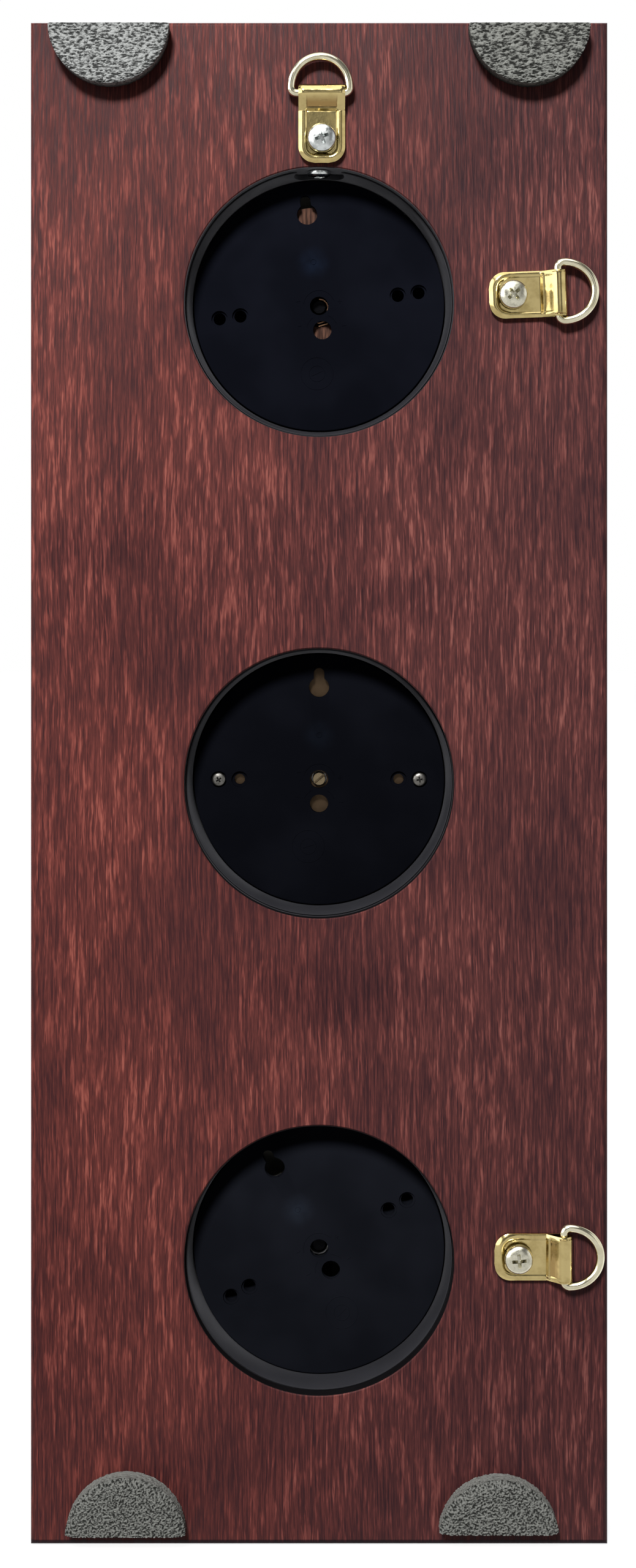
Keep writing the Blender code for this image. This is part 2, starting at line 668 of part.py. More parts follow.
def keyhole_outline():
    lean = math.degrees(math.asin(KEYHOLE_NECK_RADIUS / KEYHOLE_RADIUS))
    outline = arc((0, KEYHOLE_PLACE), KEYHOLE_RADIUS, 90 + lean, 450 - lean, SMALL_SEGMENTS)
    return outline + arc((0, KEYHOLE_TOP - KEYHOLE_NECK_RADIUS), KEYHOLE_NECK_RADIUS, 0, 180, 4)


def side_hole_places():
    return (-OUTER_HOLE_PLACE, -INNER_HOLE_PLACE, INNER_HOLE_PLACE, OUTER_HOLE_PLACE)


def case_bosses(name, case):
    """Closed screw bosses inside the case, behind its side holes."""
    back, front = CASE_FLOOR_DEPTH - CASE_WALL / 2, CASE_FLOOR_DEPTH + BOSS_HEIGHT
    return [
        rod(name + "_boss", BOSS_RADIUS, back, front, case, (across, 0, 0)) for across in side_hole_places()
    ]


def case_cutters(name, case, side_hole_end):
    """Lower hole, four stepped side holes and the keyhole of a case's back."""
    back, front = CASE_BACK_DEPTH - OVERRUN, CASE_FLOOR_DEPTH + OVERRUN
    low = (0, 0, -LOWER_HOLE_PLACE)
    tools = [rod(name + "_lower_hole", LOWER_HOLE_RADIUS, back, front, case, low)]
    step = CASE_BACK_DEPTH + COUNTERBORE_DEPTH
    profile = [(0, back), (COUNTERBORE_RADIUS, back), (COUNTERBORE_RADIUS, step), (SIDE_HOLE_RADIUS, step)]
    profile += [(SIDE_HOLE_RADIUS, side_hole_end), (0, side_hole_end)]
    for across in side_hole_places():
        mesh = turned(name + "_side_hole", profile, TINY_SEGMENTS)
        tools.append(add(name + "_side_hole", mesh, case, None, (across, 0, 0)))
    mesh = prism(name + "_keyhole", keyhole_outline(), back, front)
    return tools + [add(name + "_keyhole", mesh, case)]


def case(name, unit, looks):
    """Moulded cup with a flange; only the barometer's screws pass its side holes."""
    profile = [
        (CENTRE_HOLE_RADIUS, CASE_BACK_DEPTH),
        (CASE_RADIUS - CASE_EASE, CASE_BACK_DEPTH),
        (CASE_RADIUS, CASE_BACK_DEPTH + CASE_EASE),
        (CASE_RADIUS, FLANGE_BACK_DEPTH),
        (FLANGE_RADIUS, FLANGE_BACK_DEPTH),
        (FLANGE_RADIUS, FLANGE_FRONT_DEPTH),
        (CASE_INNER_RADIUS, FLANGE_FRONT_DEPTH),
        (CASE_INNER_RADIUS, CASE_FLOOR_DEPTH),
        (CENTRE_HOLE_RADIUS, CASE_FLOOR_DEPTH),
    ]
    turn = (0, math.radians(CASE_TURNS[name]), 0)
    made = add(name + "_case", turned(name + "_case", profile), unit, looks["case"], (0, 0, 0), turn)
    if name == "barometer":
        side_hole_end = CASE_FLOOR_DEPTH + OVERRUN
    else:
        boolean(made, "UNION", case_bosses(name, made))
        side_hole_end = CASE_FLOOR_DEPTH + BOSS_HEIGHT - BOSS_END_WALL
    boolean(made, "DIFFERENCE", case_cutters(name, made, side_hole_end))


def bezel(name, unit, looks):
    """The front ring: it slips over the case's flange and its lip covers the edge of the glass."""
    opening, back = BEZEL_OPENING_RADIUS, FLANGE_BACK_DEPTH
    across = BEZEL_RADIUS - opening
    height = BEZEL_FRONT_DEPTH - back
    profile = [(BEZEL_BORE_RADIUS, back)]
    profile += [
        (BEZEL_RADIUS - across * inward, back + height * along) for inward, along in BEZEL_ROUND_SHARES
    ]
    profile += [(opening, BEZEL_FRONT_DEPTH - BEZEL_LIP / 2), (opening, LIP_BACK_DEPTH)]
    profile += [(BEZEL_BORE_RADIUS, LIP_BACK_DEPTH)]
    add(name + "_bezel", turned(name + "_bezel", profile), unit, looks["bezel"])


def glass(name, unit, looks):
    radius = BEZEL_BORE_RADIUS - GLASS_MARGIN
    back, front = GLASS_BACK_DEPTH, GLASS_FRONT_DEPTH
    profile = ((0, back), (radius, back), (radius, front), (0, front))
    add(name + "_glass", turned(name + "_glass", profile), unit, looks["glass"])


def spacer_ring(name, unit, looks):
    inner = FLANGE_RADIUS - SPACER_WALL
    back, front = SPACER_BACK_DEPTH, SPACER_BACK_DEPTH + SPACER_HEIGHT
    profile = ((inner, back), (FLANGE_RADIUS, back), (FLANGE_RADIUS, front), (inner, front))
    add(name + "_spacer_ring", turned(name + "_spacer_ring", profile), unit, looks["spacer"])


def dial(name, unit, looks):
    outline = arc((0, 0), FLANGE_RADIUS - DIAL_MARGIN, 0, 360, ROUND_SEGMENTS)[:-1]
    mesh = prism(name + "_dial", outline, DIAL_BACK_DEPTH, DIAL_FRONT_DEPTH)
    made = add(name + "_dial", mesh, unit, looks["dial"])
    back, front = DIAL_BACK_DEPTH - OVERRUN, DIAL_FRONT_DEPTH + OVERRUN
    boolean(made, "DIFFERENCE", [rod(name + "_dial_hole", DIAL_HOLE_RADIUS, back, front, unit)])


def needle_outline():
    wide, fine = NEEDLE_WIDTH / 2, NEEDLE_TIP_WIDTH / 2
    return [(-wide, -NEEDLE_TAIL), (wide, -NEEDLE_TAIL), (fine, NEEDLE_LENGTH), (-fine, NEEDLE_LENGTH)]


def reading_angle(name):
    """Where the needle stands, clockwise from straight up as the dial is read."""
    lowest, highest, half_sweep, reading = SCALES[name]
    return -half_sweep + 2 * half_sweep * (reading - lowest) / (highest - lowest)


def needle(name, unit, looks):
    mesh = prism(name + "_needle", needle_outline(), NEEDLE_DEPTH, NEEDLE_DEPTH + NEEDLE_THICKNESS)
    turn = (0, math.radians(reading_angle(name)), 0)
    made = add(name + "_needle", mesh, unit, looks["needle"], (0, 0, 0), turn)
    hub = rod(name + "_hub", HUB_RADIUS, HUB_BACK_DEPTH, HUB_FRONT_DEPTH, unit, segments=MEDIUM_SEGMENTS)
    bore_radius = ARBOR_TIP_RADIUS + CLEARANCE
    bore = rod(name + "_hub_bore", bore_radius, HUB_BACK_DEPTH - OVERRUN, HUB_FRONT_DEPTH + OVERRUN, unit)
    boolean(made, "UNION", [hub])
    boolean(made, "DIFFERENCE", [bore])


def arbor_end():
    """Profile points of an arbor from its shoulder under the needle to its tip."""
    shoulder = HUB_BACK_DEPTH - CLEARANCE
    tip = HUB_FRONT_DEPTH - CLEARANCE
    return [(ARBOR_RADIUS, shoulder), (ARBOR_TIP_RADIUS, shoulder), (ARBOR_TIP_RADIUS, tip), (0, tip)]


def coil_arbor(name, unit, looks):
    """Arbor with a collet that the coil is wound round."""
    back = COIL_DEPTH - CLEARANCE
    shoulder = COIL_DEPTH + COIL_STRIP_HEIGHT + CLEARANCE
    profile = [(0, back), (COLLET_RADIUS, back), (COLLET_RADIUS, shoulder), (ARBOR_RADIUS, shoulder)]
    add(name + "_arbor", turned(name + "_arbor", profile + arbor_end(), SMALL_SEGMENTS), unit, looks["steel"])


def spiral(inner, pitch, turns, steps_per_turn, last_angle):
    """Points of a flat spiral, from the inside out, that ends at a given angle in degrees."""
    steps = round(turns * steps_per_turn)
    points = []
    for step in range(steps + 1):
        angle = math.radians(last_angle) - math.tau * turns * (1 - step / steps)
        radius = inner + pitch * turns * step / steps
        points.append((radius * math.cos(angle), radius * math.sin(angle)))
    return points


def coil(name, unit, looks, material):
    """Bimetal or moisture coil: a spiral whose straight tail runs down to the bracket's peg."""
    path = spiral(COIL_INNER_RADIUS, COIL_PITCH, COIL_TURNS, COIL_STEPS_PER_TURN, -90)
    path.append((0, -COIL_TAIL_END))
    mesh = ribbon(name + "_coil", path, COIL_DEPTH, COIL_DEPTH + COIL_STRIP_HEIGHT)
    thicken(add(name + "_coil", mesh, unit, looks[material]), COIL_STRIP_THICKNESS)


def backing_strip(name, unit, looks):
    """Fibreboard strip inside the thermometer's case, under the feet of its bracket."""
    lean = math.degrees(math.acos(STRIP_HALF_WIDTH / STRIP_REACH))
    outline = arc((0, 0), STRIP_REACH, lean, 180 - lean, 6)
    outline += arc((0, 0), STRIP_REACH, 180 + lean, 360 - lean, 6)
    back = CASE_FLOOR_DEPTH + CLEARANCE
    front = back + STRIP_THICKNESS
    turn = (0, math.radians(CASE_TURNS[name]), 0)
    mesh = prism(name + "_backing_strip", outline, back, front)
    made = add(name + "_backing_strip", mesh, unit, looks["fibre"], (0, 0, 0), turn)
    low, high = back - OVERRUN, front + OVERRUN
    hole = rod(name + "_strip_hole", STRIP_HOLE_RADIUS, low, high, unit, segments=MEDIUM_SEGMENTS)
    boolean(made, "DIFFERENCE", [hole])


def bracket(name, unit, looks, foot):
    """A plate on two posts; it bears the arbor and its peg holds the coil's tail."""
    half_length = BRACKET_POST_PLACE + BRACKET_POST_RADIUS
    outline = [(across, up) for up, across in stadium(half_length, BRACKET_HALF_WIDTH, 5)]
    front = BRACKET_DEPTH + BRACKET_THICKNESS
    mesh = prism(name + "_bracket", outline, BRACKET_DEPTH, front)
    made = add(name + "_bracket", mesh, unit, looks["brass"])
    inside = BRACKET_DEPTH + BRACKET_THICKNESS / 2
    tools = [
        rod(name + "_post", BRACKET_POST_RADIUS, foot, inside, unit, (0, 0, up))
        for up in (-BRACKET_POST_PLACE, BRACKET_POST_PLACE)
    ]
    peg_place = (0, 0, -COIL_TAIL_END - CLEARANCE - COIL_PEG_RADIUS)
    tools.append(rod(name + "_peg", COIL_PEG_RADIUS, COIL_DEPTH, inside, unit, peg_place))
    boolean(made, "UNION", tools)
    bearing = rod(name + "_bearing", ARBOR_RADIUS + CLEARANCE, BRACKET_DEPTH - OVERRUN, front + OVERRUN, unit)
    boolean(made, "DIFFERENCE", [bearing])


def ear_outline():
    """A lug bent up from the frame plate, with a round top over the rocking shaft."""
    foot = FRAME_PLATE_FRONT - FRAME_PLATE_THICKNESS / 2
    middle = -ROCKER_OFFSET
    top = arc((middle, ROCKER_DEPTH), EAR_RADIUS, 0, 180, 6)
    return [(middle - EAR_RADIUS, foot), (middle + EAR_RADIUS, foot)] + top


def frame_plate(unit, looks):
    """Round brass plate that carries the barometer's movement."""
    back, front = FRAME_PLATE_DEPTH, FRAME_PLATE_FRONT
    outline = arc((0, 0), FRAME_PLATE_RADIUS, 0, 360, ROUND_SEGMENTS)[:-1]
    mesh = prism("barometer_frame_plate", outline, back, front)
    made = add("barometer_frame_plate", mesh, unit, looks["brass"])
    ears = []
    for place in (EAR_INNER_PLACE, EAR_OUTER_PLACE):
        mesh = prism("ear", ear_outline(), place, place + EAR_THICKNESS, sideways)
        ears.append(add("ear", mesh, unit))
    boolean(made, "UNION", ears)
    tools = [rod("adjuster_hole", ADJUSTER_RADIUS + CLEARANCE, back - OVERRUN, front + OVERRUN, unit)]
    for across in (-OUTER_HOLE_PLACE, OUTER_HOLE_PLACE):
        radius = CASE_SCREW_RADIUS + CLEARANCE
        tools.append(rod("screw_hole", radius, back - OVERRUN, front + OVERRUN, unit, (across, 0, 0)))
    bearing_radius = ROCKER_SHAFT_RADIUS + CLEARANCE
    far = EAR_OUTER_PLACE + EAR_THICKNESS + OVERRUN
    place = (0, -ROCKER_DEPTH, -ROCKER_OFFSET)
    tools.append(rod("ear_bearing", bearing_radius, EAR_INNER_PLACE - OVERRUN, far, unit, place, ACROSS))
    boolean(made, "DIFFERENCE", tools)


def case_screws(unit, looks):
    for side, sign in (("left", 1), ("right", -1)):
        name = "barometer_case_screw_" + side
        mesh = pan_head_screw(name, CASE_HEAD_RADIUS, CASE_HEAD_HEIGHT, CASE_SCREW_RADIUS, CASE_SCREW_LENGTH)
        seat = CASE_BACK_DEPTH + COUNTERBORE_DEPTH - CLEARANCE
        add(name, mesh, unit, looks["zinc"], (sign * OUTER_HOLE_PLACE, -seat, 0))


def adjusting_screw(unit, looks):
    """Slotted screw in the middle of the back, which shifts the capsule to set the reading."""
    name = "barometer_adjusting_screw"
    back = CASE_BACK_DEPTH + ADJUSTER_SINK
    profile = ((0, back), (ADJUSTER_RADIUS, back), (ADJUSTER_RADIUS, BUSHING_FRONT), (0, BUSHING_FRONT))
    turn = (0, math.radians(ADJUSTER_SLOT_TURN), 0)
    made = add(name, turned(name, profile, MEDIUM_SEGMENTS), unit, looks["brass"], (0, 0, 0), turn)
    reach, half = ADJUSTER_RADIUS + OVERRUN, ADJUSTER_SLOT_WIDTH / 2
    mesh = prism("slot", box_outline(-reach, reach, -half, half), back - OVERRUN, back + ADJUSTER_SLOT_DEPTH)
    boolean(made, "DIFFERENCE", [add("slot", mesh, made)])


def bushing(unit, looks):
    inner = ADJUSTER_RADIUS + CLEARANCE
    back, front = BUSHING_DEPTH, BUSHING_FRONT
    profile = ((inner, back), (BUSHING_RADIUS, back), (BUSHING_RADIUS, front), (inner, front))
    name = "barometer_adjuster_bushing"
    add(name, turned(name, profile, MEDIUM_SEGMENTS), unit, looks["brass"])


def diaphragm(middle, rise):
    """Rippled half of the capsule from its stud to its rim; rise is minus one for the back half."""
    face = CAPSULE_HEIGHT / 2
    points = [(CAPSULE_STUD_RADIUS, middle + rise * face)]
    waves = CAPSULE_RIPPLE_COUNT * 2
    for step in range(1, waves):
        radius = CAPSULE_STUD_RADIUS + (CAPSULE_RADIUS - CAPSULE_STUD_RADIUS) * step / waves
        level = face - CAPSULE_RIPPLE * (step % 2)
        points.append((radius, middle + rise * level))
    points.append((CAPSULE_RADIUS, middle + rise * face / 3))
    return points


def capsule(unit, looks):
    """Sealed rippled pressure capsule with a stud at each side."""
    middle = (CAPSULE_DEPTH + CAPSULE_FRONT) / 2
    profile = [(0, CAPSULE_DEPTH), (CAPSULE_STUD_RADIUS, CAPSULE_DEPTH)]
    profile += diaphragm(middle, -1) + diaphragm(middle, 1)[::-1]
    profile += [(CAPSULE_STUD_RADIUS, CAPSULE_FRONT), (0, CAPSULE_FRONT)]
    mesh = turned("barometer_capsule", profile, MEDIUM_SEGMENTS)
    add("barometer_capsule", mesh, unit, looks["steel"])


def rocker_outline():
    """The lever from its side: a riser on the shaft, a bar over the capsule, a finger to the sector."""
    right = PIVOT_PLACE + SECTOR_TAIL_LENGTH + ROCKER_FINGER_OVERLAP
    left = right - ROCKER_RISER_WIDTH
    finger = right - ROCKER_FINGER_WIDTH
    foot = ROCKER_DEPTH - ROCKER_SHAFT_RADIUS
    bar_back, bar_front = ROCKER_BAR_DEPTH, ROCKER_BAR_DEPTH + ROCKER_BAR_HEIGHT
    end = -ROCKER_FOOT_WIDTH / 2
    outline = [(left, foot), (right, foot), (right, SECTOR_FRONT), (finger, SECTOR_FRONT)]
    return outline + [(finger, bar_front), (end, bar_front), (end, bar_back), (left, bar_back)]


def rocker(unit, looks):
    """Rocking shaft between the ears; the capsule tips it and its finger steers the sector."""
    axis = empty("rocker_axis", unit, (0, -ROCKER_DEPTH, -ROCKER_OFFSET))
    half = ROCKER_PLATE_THICKNESS / 2
    outline = [(across, depth - ROCKER_DEPTH) for across, depth in rocker_outline()]
    mesh = prism("barometer_rocker", outline, -half, half, endways)
    made = add("barometer_rocker", mesh, axis, looks["steel"])
    far = EAR_OUTER_PLACE + EAR_THICKNESS
    shaft = rod("rocker_shaft", ROCKER_SHAFT_RADIUS, EAR_INNER_PLACE, far, axis, (0, 0, 0), ACROSS)
    back = ROCKER_BAR_DEPTH - ROCKER_DEPTH
    front = back + ROCKER_BAR_HEIGHT * 2 / 3
    outline = box_outline(-ROCKER_FOOT_WIDTH / 3, ROCKER_FOOT_WIDTH / 3, 0, ROCKER_FOOT_REACH)
    foot = add("rocker_foot", prism("rocker_foot", outline, back + ROCKER_FOOT_LIFT, front), axis)
    boolean(made, "UNION", [shaft, foot])


def teeth(count, indices, first_angle, pitch_radius, dedendum, addendum, shares):
    """Outline points of gear teeth, up one side of each tooth and down the other.

    The shares give each tooth's width at its root, its pitch line and its tip, as parts of the pitch.
    """
    root_share, flank_share, tip_share = shares
    step = math.tau / count
    radii = (pitch_radius - dedendum, pitch_radius, pitch_radius + addendum)
    side = list(zip(radii, (root_share, flank_share, tip_share)))
    points = []
    for index in indices:
        middle = first_angle + index * step
        turns = [(radius, middle - share * step / 2) for radius, share in side]
        turns += [(radius, middle + share * step / 2) for radius, share in reversed(side)]
        points += [(radius * math.cos(angle), radius * math.sin(angle)) for radius, angle in turns]
    return points


def sector_outline():
    """Toothed arc towards the pinion, a hub round the pivot and a tail on the far side."""
    reach = range(-SECTOR_TEETH_EACH_SIDE, SECTOR_TEETH_EACH_SIDE + 1)
    rim = teeth(
        SECTOR_TEETH, reach, math.pi, SECTOR_RADIUS, SECTOR_DEDENDUM, SECTOR_ADDENDUM, SECTOR_TOOTH_SHARES
    )
    half = SECTOR_TAIL_WIDTH / 2
    lean = math.degrees(math.asin(half / SECTOR_HUB_RADIUS))
    lower = arc((0, 0), SECTOR_HUB_RADIUS, 180 + SECTOR_HUB_ANGLE, 360 - lean, 5)
    upper = arc((0, 0), SECTOR_HUB_RADIUS, lean, 180 - SECTOR_HUB_ANGLE, 5)
    return rim + lower + [(SECTOR_TAIL_LENGTH, -half), (SECTOR_TAIL_LENGTH, half)] + upper


def sector_window():
    """The opening between the two spokes of the sector."""
    spread = SECTOR_TEETH_EACH_SIDE * 360 / SECTOR_TEETH - SECTOR_SPOKE_ANGLE
    outer = SECTOR_RADIUS - SECTOR_RIM
    window = arc((0, 0), outer, 180 - spread, 180 + spread, 8)
    return window + arc((0, 0), SECTOR_WINDOW_INNER_RADIUS, 180 + spread / 2, 180 - spread / 2, 3)


def sector(unit, looks):
    axis = empty("sector_axis", unit, (PIVOT_PLACE, 0, 0))
    mesh = prism("barometer_sector", sector_outline(), SECTOR_DEPTH, SECTOR_FRONT)
    made = add("barometer_sector", mesh, axis, looks["brass"])
    pin = rod("sector_pin", PIVOT_RADIUS, SECTOR_DEPTH - CLEARANCE, BRIDGE_FRONT, axis)
    back, front = SECTOR_DEPTH - OVERRUN, SECTOR_FRONT + OVERRUN
    window = add("sector_window", prism("sector_window", sector_window(), back, front), axis)
    boolean(made, "UNION", [pin])
    boolean(made, "DIFFERENCE", [window])


def pinion_arbor(unit, looks):
    """Needle arbor with its pinion, a gap between two teeth facing the sector."""
    back = SECTOR_DEPTH - CLEARANCE
    profile = [(0, back), (ARBOR_RADIUS, back)] + arbor_end()
    mesh = turned("barometer_arbor", profile, SMALL_SEGMENTS)
    made = add("barometer_arbor", mesh, unit, looks["steel"])
    outline = teeth(
        PINION_TEETH,
        range(PINION_TEETH),
        math.pi / PINION_TEETH,
        PINION_RADIUS,
        PINION_DEDENDUM,
        PINION_ADDENDUM,
        PINION_TOOTH_SHARES,
    )
    depth = SECTOR_DEPTH - PINION_BELOW_SECTOR
    mesh = prism("pinion", outline, depth, SECTOR_FRONT + PINION_BELOW_SECTOR)
    boolean(made, "UNION", [add("pinion", mesh, unit)])


def rounded_hull(centres, radius, steps):
    """Outline of a plate with round corners; the centres run counter-clockwise."""
    outline = []
    count = len(centres)
    for index, (across, up) in enumerate(centres):
        before, after = centres[index - 1], centres[(index + 1) % count]
        start = math.degrees(math.atan2(up - before[1], across - before[0])) - 90
        stop = math.degrees(math.atan2(after[1] - up, after[0] - across)) - 90
        outline += arc((across, up), radius, start, start + (stop - start) % 360, steps)
    return outline


def bridge(unit, looks):
    """Three-legged plate over the movement, with the bearings of the arbor and the sector."""
    corners = [
        (-BRIDGE_LEFT_PLACE, 0),
        (BRIDGE_RIGHT_PLACE, -BRIDGE_RIGHT_SPREAD),
        (BRIDGE_RIGHT_PLACE, BRIDGE_RIGHT_SPREAD),
    ]
    outline = rounded_hull(corners, BRIDGE_CORNER, 4)
    mesh = prism("barometer_bridge", outline, BRIDGE_DEPTH, BRIDGE_FRONT)
    made = add("barometer_bridge", mesh, unit, looks["brass"])
    inside = BRIDGE_DEPTH + BRIDGE_THICKNESS / 2
    foot = FRAME_PLATE_FRONT + CLEARANCE
    posts = [
        rod("bridge_post", BRIDGE_POST_RADIUS, foot, inside, unit, (across, 0, up)) for across, up in corners
    ]
    boolean(made, "UNION", posts)
    back, front = BRIDGE_DEPTH - OVERRUN, BRIDGE_FRONT + OVERRUN
    arbor_bearing = rod("arbor_bearing", ARBOR_RADIUS + CLEARANCE, back, front, unit)
    pivot_bearing = rod("pivot_bearing", PIVOT_RADIUS + CLEARANCE, back, front, unit, (PIVOT_PLACE, 0, 0))
    boolean(made, "DIFFERENCE", [arbor_bearing, pivot_bearing])


def hairspring(unit, looks):
    """Flat spiral over the bridge that takes up the play between sector and pinion."""
    path = spiral(HAIRSPRING_INNER_RADIUS, HAIRSPRING_PITCH, HAIRSPRING_TURNS, SMALL_SEGMENTS, 90)
    back = BRIDGE_FRONT + CLEARANCE
    mesh = ribbon("barometer_hairspring", path, back, back + HAIRSPRING_HEIGHT)
    thicken(add("barometer_hairspring", mesh, unit, looks["steel"]), HAIRSPRING_THICKNESS)


def barometer_movement(unit, looks):
    frame_plate(unit, looks)
    case_screws(unit, looks)
    adjusting_screw(unit, looks)
    bushing(unit, looks)
    capsule(unit, looks)
    rocker(unit, looks)
    sector(unit, looks)
    pinion_arbor(unit, looks)
    bridge(unit, looks)
    hairspring(unit, looks)


def thermometer_movement(unit, looks):
    coil_arbor("thermometer", unit, looks)
    coil("thermometer", unit, looks, "copper")
    backing_strip("thermometer", unit, looks)
    bracket("thermometer", unit, looks, CASE_FLOOR_DEPTH + STRIP_THICKNESS + CLEARANCE * 2)


def hygrometer_movement(unit, looks):
    coil_arbor("hygrometer", unit, looks)
    coil("hygrometer", unit, looks, "steel")
    bracket("hygrometer", unit, looks, CASE_FLOOR_DEPTH + CLEARANCE)


def station():
    clear_scene()
    looks = finishes()
    nail_height = RING_REACH - RING_WIRE_RADIUS
    middle = TOP_HANGER_DROP - nail_height - BOARD_HEIGHT / 2
    back = empty("board_back", None, (0, -PAD_THICKNESS - CLEARANCE, middle))
    units = {
        "thermometer": empty("thermometer_axis", back, (0, 0, UPPER_WELL_SPACING)),
        "barometer": empty("barometer_axis", back),
        "hygrometer": empty("hygrometer_axis", back, (0, 0, -LOWER_WELL_SPACING)),
    }
    hangers = hanger_axes(back)
    board(back, looks, units, hangers)
    pads(back, looks)
    for name, hanger in hangers.items():
        strap(name, hanger, looks)
        hanger_screw(name, hanger, looks)
        ring(name, hanger, looks)
    for name, unit in units.items():
        ring_of_well = sleeve(name, unit, looks)
        if name == "thermometer":
            sleeve_notch(ring_of_well, unit)
            sleeve_screw(name, unit, looks)
        case(name, unit, looks)
        bezel(name, unit, looks)
        glass(name, unit, looks)
        spacer_ring(name, unit, looks)
        dial(name, unit, looks)
        needle(name, unit, looks)
    thermometer_movement(units["thermometer"], looks)
    barometer_movement(units["barometer"], looks)
    hygrometer_movement(units["hygrometer"], looks)


station()
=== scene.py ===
"""The back of a wall weather station: finishes, fine shapes, lamps and camera.

Metres, +Z up. The back of the board faces +Y, towards the camera, and the dials face -Y.
Left and right are as seen from the back, so left is +X. Depths run from the back face of the
board towards the dials. An outline is a list of (across, up) points, a profile one of
(radius, depth) points.
"""

from functools import partial
from math import acos, asin, atan2, cos, degrees, hypot, pi, radians, sin, sqrt, tau

import bmesh
import bpy
from mathutils import Matrix, Vector, noise


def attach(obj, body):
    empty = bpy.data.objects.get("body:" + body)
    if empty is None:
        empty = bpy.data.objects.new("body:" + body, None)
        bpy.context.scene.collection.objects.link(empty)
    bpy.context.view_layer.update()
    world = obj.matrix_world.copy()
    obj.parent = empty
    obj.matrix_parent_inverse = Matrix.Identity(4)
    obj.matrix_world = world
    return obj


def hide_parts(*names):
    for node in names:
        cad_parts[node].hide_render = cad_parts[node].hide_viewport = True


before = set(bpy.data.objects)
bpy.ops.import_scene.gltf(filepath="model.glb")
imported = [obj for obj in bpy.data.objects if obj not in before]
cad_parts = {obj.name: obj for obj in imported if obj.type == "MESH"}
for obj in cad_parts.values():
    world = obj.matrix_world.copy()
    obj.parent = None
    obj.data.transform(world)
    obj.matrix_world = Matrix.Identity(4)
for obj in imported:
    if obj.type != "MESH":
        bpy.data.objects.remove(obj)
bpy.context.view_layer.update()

# Places and sizes shared with the solids
BACK_Y = -0.0053
BOARD_MIDDLE = -0.16225
BOARD_WIDTH = 0.130
BOARD_HEIGHT = 0.343
BOARD_THICKNESS = 0.018
BOARD_BOTTOM = BOARD_MIDDLE - BOARD_HEIGHT / 2
BACK_EASE = 0.0010
FRONT_ROUND = 0.003
CLEARANCE = 0.0003
OVERRUN = 0.002
UNITS = {"thermometer": -0.05375, "barometer": -0.16225, "hygrometer": -0.26975}
CASE_TURNS = {"thermometer": 7.5, "barometer": 0.0, "hygrometer": 28.8}

WELL_RADIUS = 0.0304
WELL_DEPTH = 0.012
WELL_EASE = 0.0003
BORE_RADIUS = 0.0292
SLEEVE_OUTER = 0.0301
SLEEVE_INNER = 0.0290
SLEEVE_BACK = 0.0026
SLEEVE_SLOPE = 0.0050
SLEEVE_FRONT = 0.0117
SCREW_DEPTH = 0.0046
SCREW_HEAD = 0.0027

CASE_BACK = 0.008
CASE_FLOOR = 0.0095
CASE_RADIUS = 0.0287
CASE_INNER = 0.0272
FLANGE_RADIUS = 0.0335
FLANGE_BACK = 0.0183
FLANGE_FRONT = 0.0201
HOLE_RADIUS = 0.0021
LOWER_HOLE = 0.0056
SIDE_HOLES = (-0.0230, -0.0182, 0.0182, 0.0230)
SIDE_HOLE_RADIUS = 0.0014
THROUGH_HOLE_RADIUS = 0.0012
COUNTERBORE = 0.00185
COUNTERBORE_DEPTH = 0.0006
BOSS_RADIUS = 0.0022
BOSS_FRONT = 0.0145
BOSS_WALL = 0.0008
KEYHOLE_PLACE = 0.0211
KEYHOLE_RADIUS = 0.0023
KEYHOLE_NECK = 0.0012
KEYHOLE_TOP = 0.0255
ADJUSTER_RADIUS = 0.0015
ADJUSTER_BACK = 0.0087
ADJUSTER_FRONT = 0.0118

ARBOR_HOLE = 0.0013
DIAL_BACK = 0.0204
DIAL_FRONT = 0.0209
DIAL_RADIUS = 0.0320
SPACER_INNER = 0.0309
SPACER_OUTER = 0.0335
SPACER_BACK = 0.0212
SPACER_FRONT = 0.0252
GLASS_RADIUS = 0.0331
GLASS_BACK = 0.0255
GLASS_FRONT = 0.0271
BEZEL_BORE = 0.0338
BEZEL_RADIUS = 0.0360
BEZEL_SHOULDER = 0.0248
BEZEL_FRONT = 0.0286
BEZEL_LIP = 0.0312
BEZEL_OPENING = 0.0300
NEEDLE_BACK = 0.0223
NEEDLE_THICKNESS = 0.0004

RING_Y = -0.0030
HANGERS = {
    "top": (-0.0006, -0.00725, 0.0),
    "upper_side": (-0.0536, -0.05205, -88.0),
    "lower_side": (-0.0548, -0.26845, -90.0),
}

# Segments round a turned piece, and the angle above which an edge stays sharp
FINE = 144
MEDIUM = 48
SHARP = radians(32)


# Meshes

move = Matrix.Translation


def turned(angle):
    return Matrix.Rotation(radians(angle), 4, "Y")


def clamp(value):
    return max(0.0, min(1.0, value))


def face_back(across, depth, up):
    return (across, -depth, up)


def assign(thing, **settings):
    for key, value in settings.items():
        setattr(thing, key, value)
    return thing


def new_object(name, data):
    made = bpy.data.objects.new(name, data)
    bpy.context.scene.collection.objects.link(made)
    return made


def to_object(name, bm):
    mesh = bpy.data.meshes.new(name)
    bm.to_mesh(mesh)
    bm.free()
    return new_object(name, mesh)


def welded(name, bm):
    bmesh.ops.remove_doubles(bm, verts=bm.verts, dist=0.0000005)
    bmesh.ops.recalc_face_normals(bm, faces=bm.faces)
    return to_object(name, bm)


def evaluated_mesh(piece):
    bpy.context.view_layer.update()
    graph = bpy.context.evaluated_depsgraph_get()
    return bpy.data.meshes.new_from_object(piece.evaluated_get(graph))


def bake(piece):
    """Replaces a piece's mesh by what its modifiers make of it."""
    mesh = evaluated_mesh(piece)
    piece.modifiers.clear()
    piece.data = mesh


def bake_curve(piece):
    """Makes a mesh object from a curve or a text, and drops the original."""
    made = new_object(piece.name + "_mesh", evaluated_mesh(piece))
    bpy.data.objects.remove(piece)
    return made


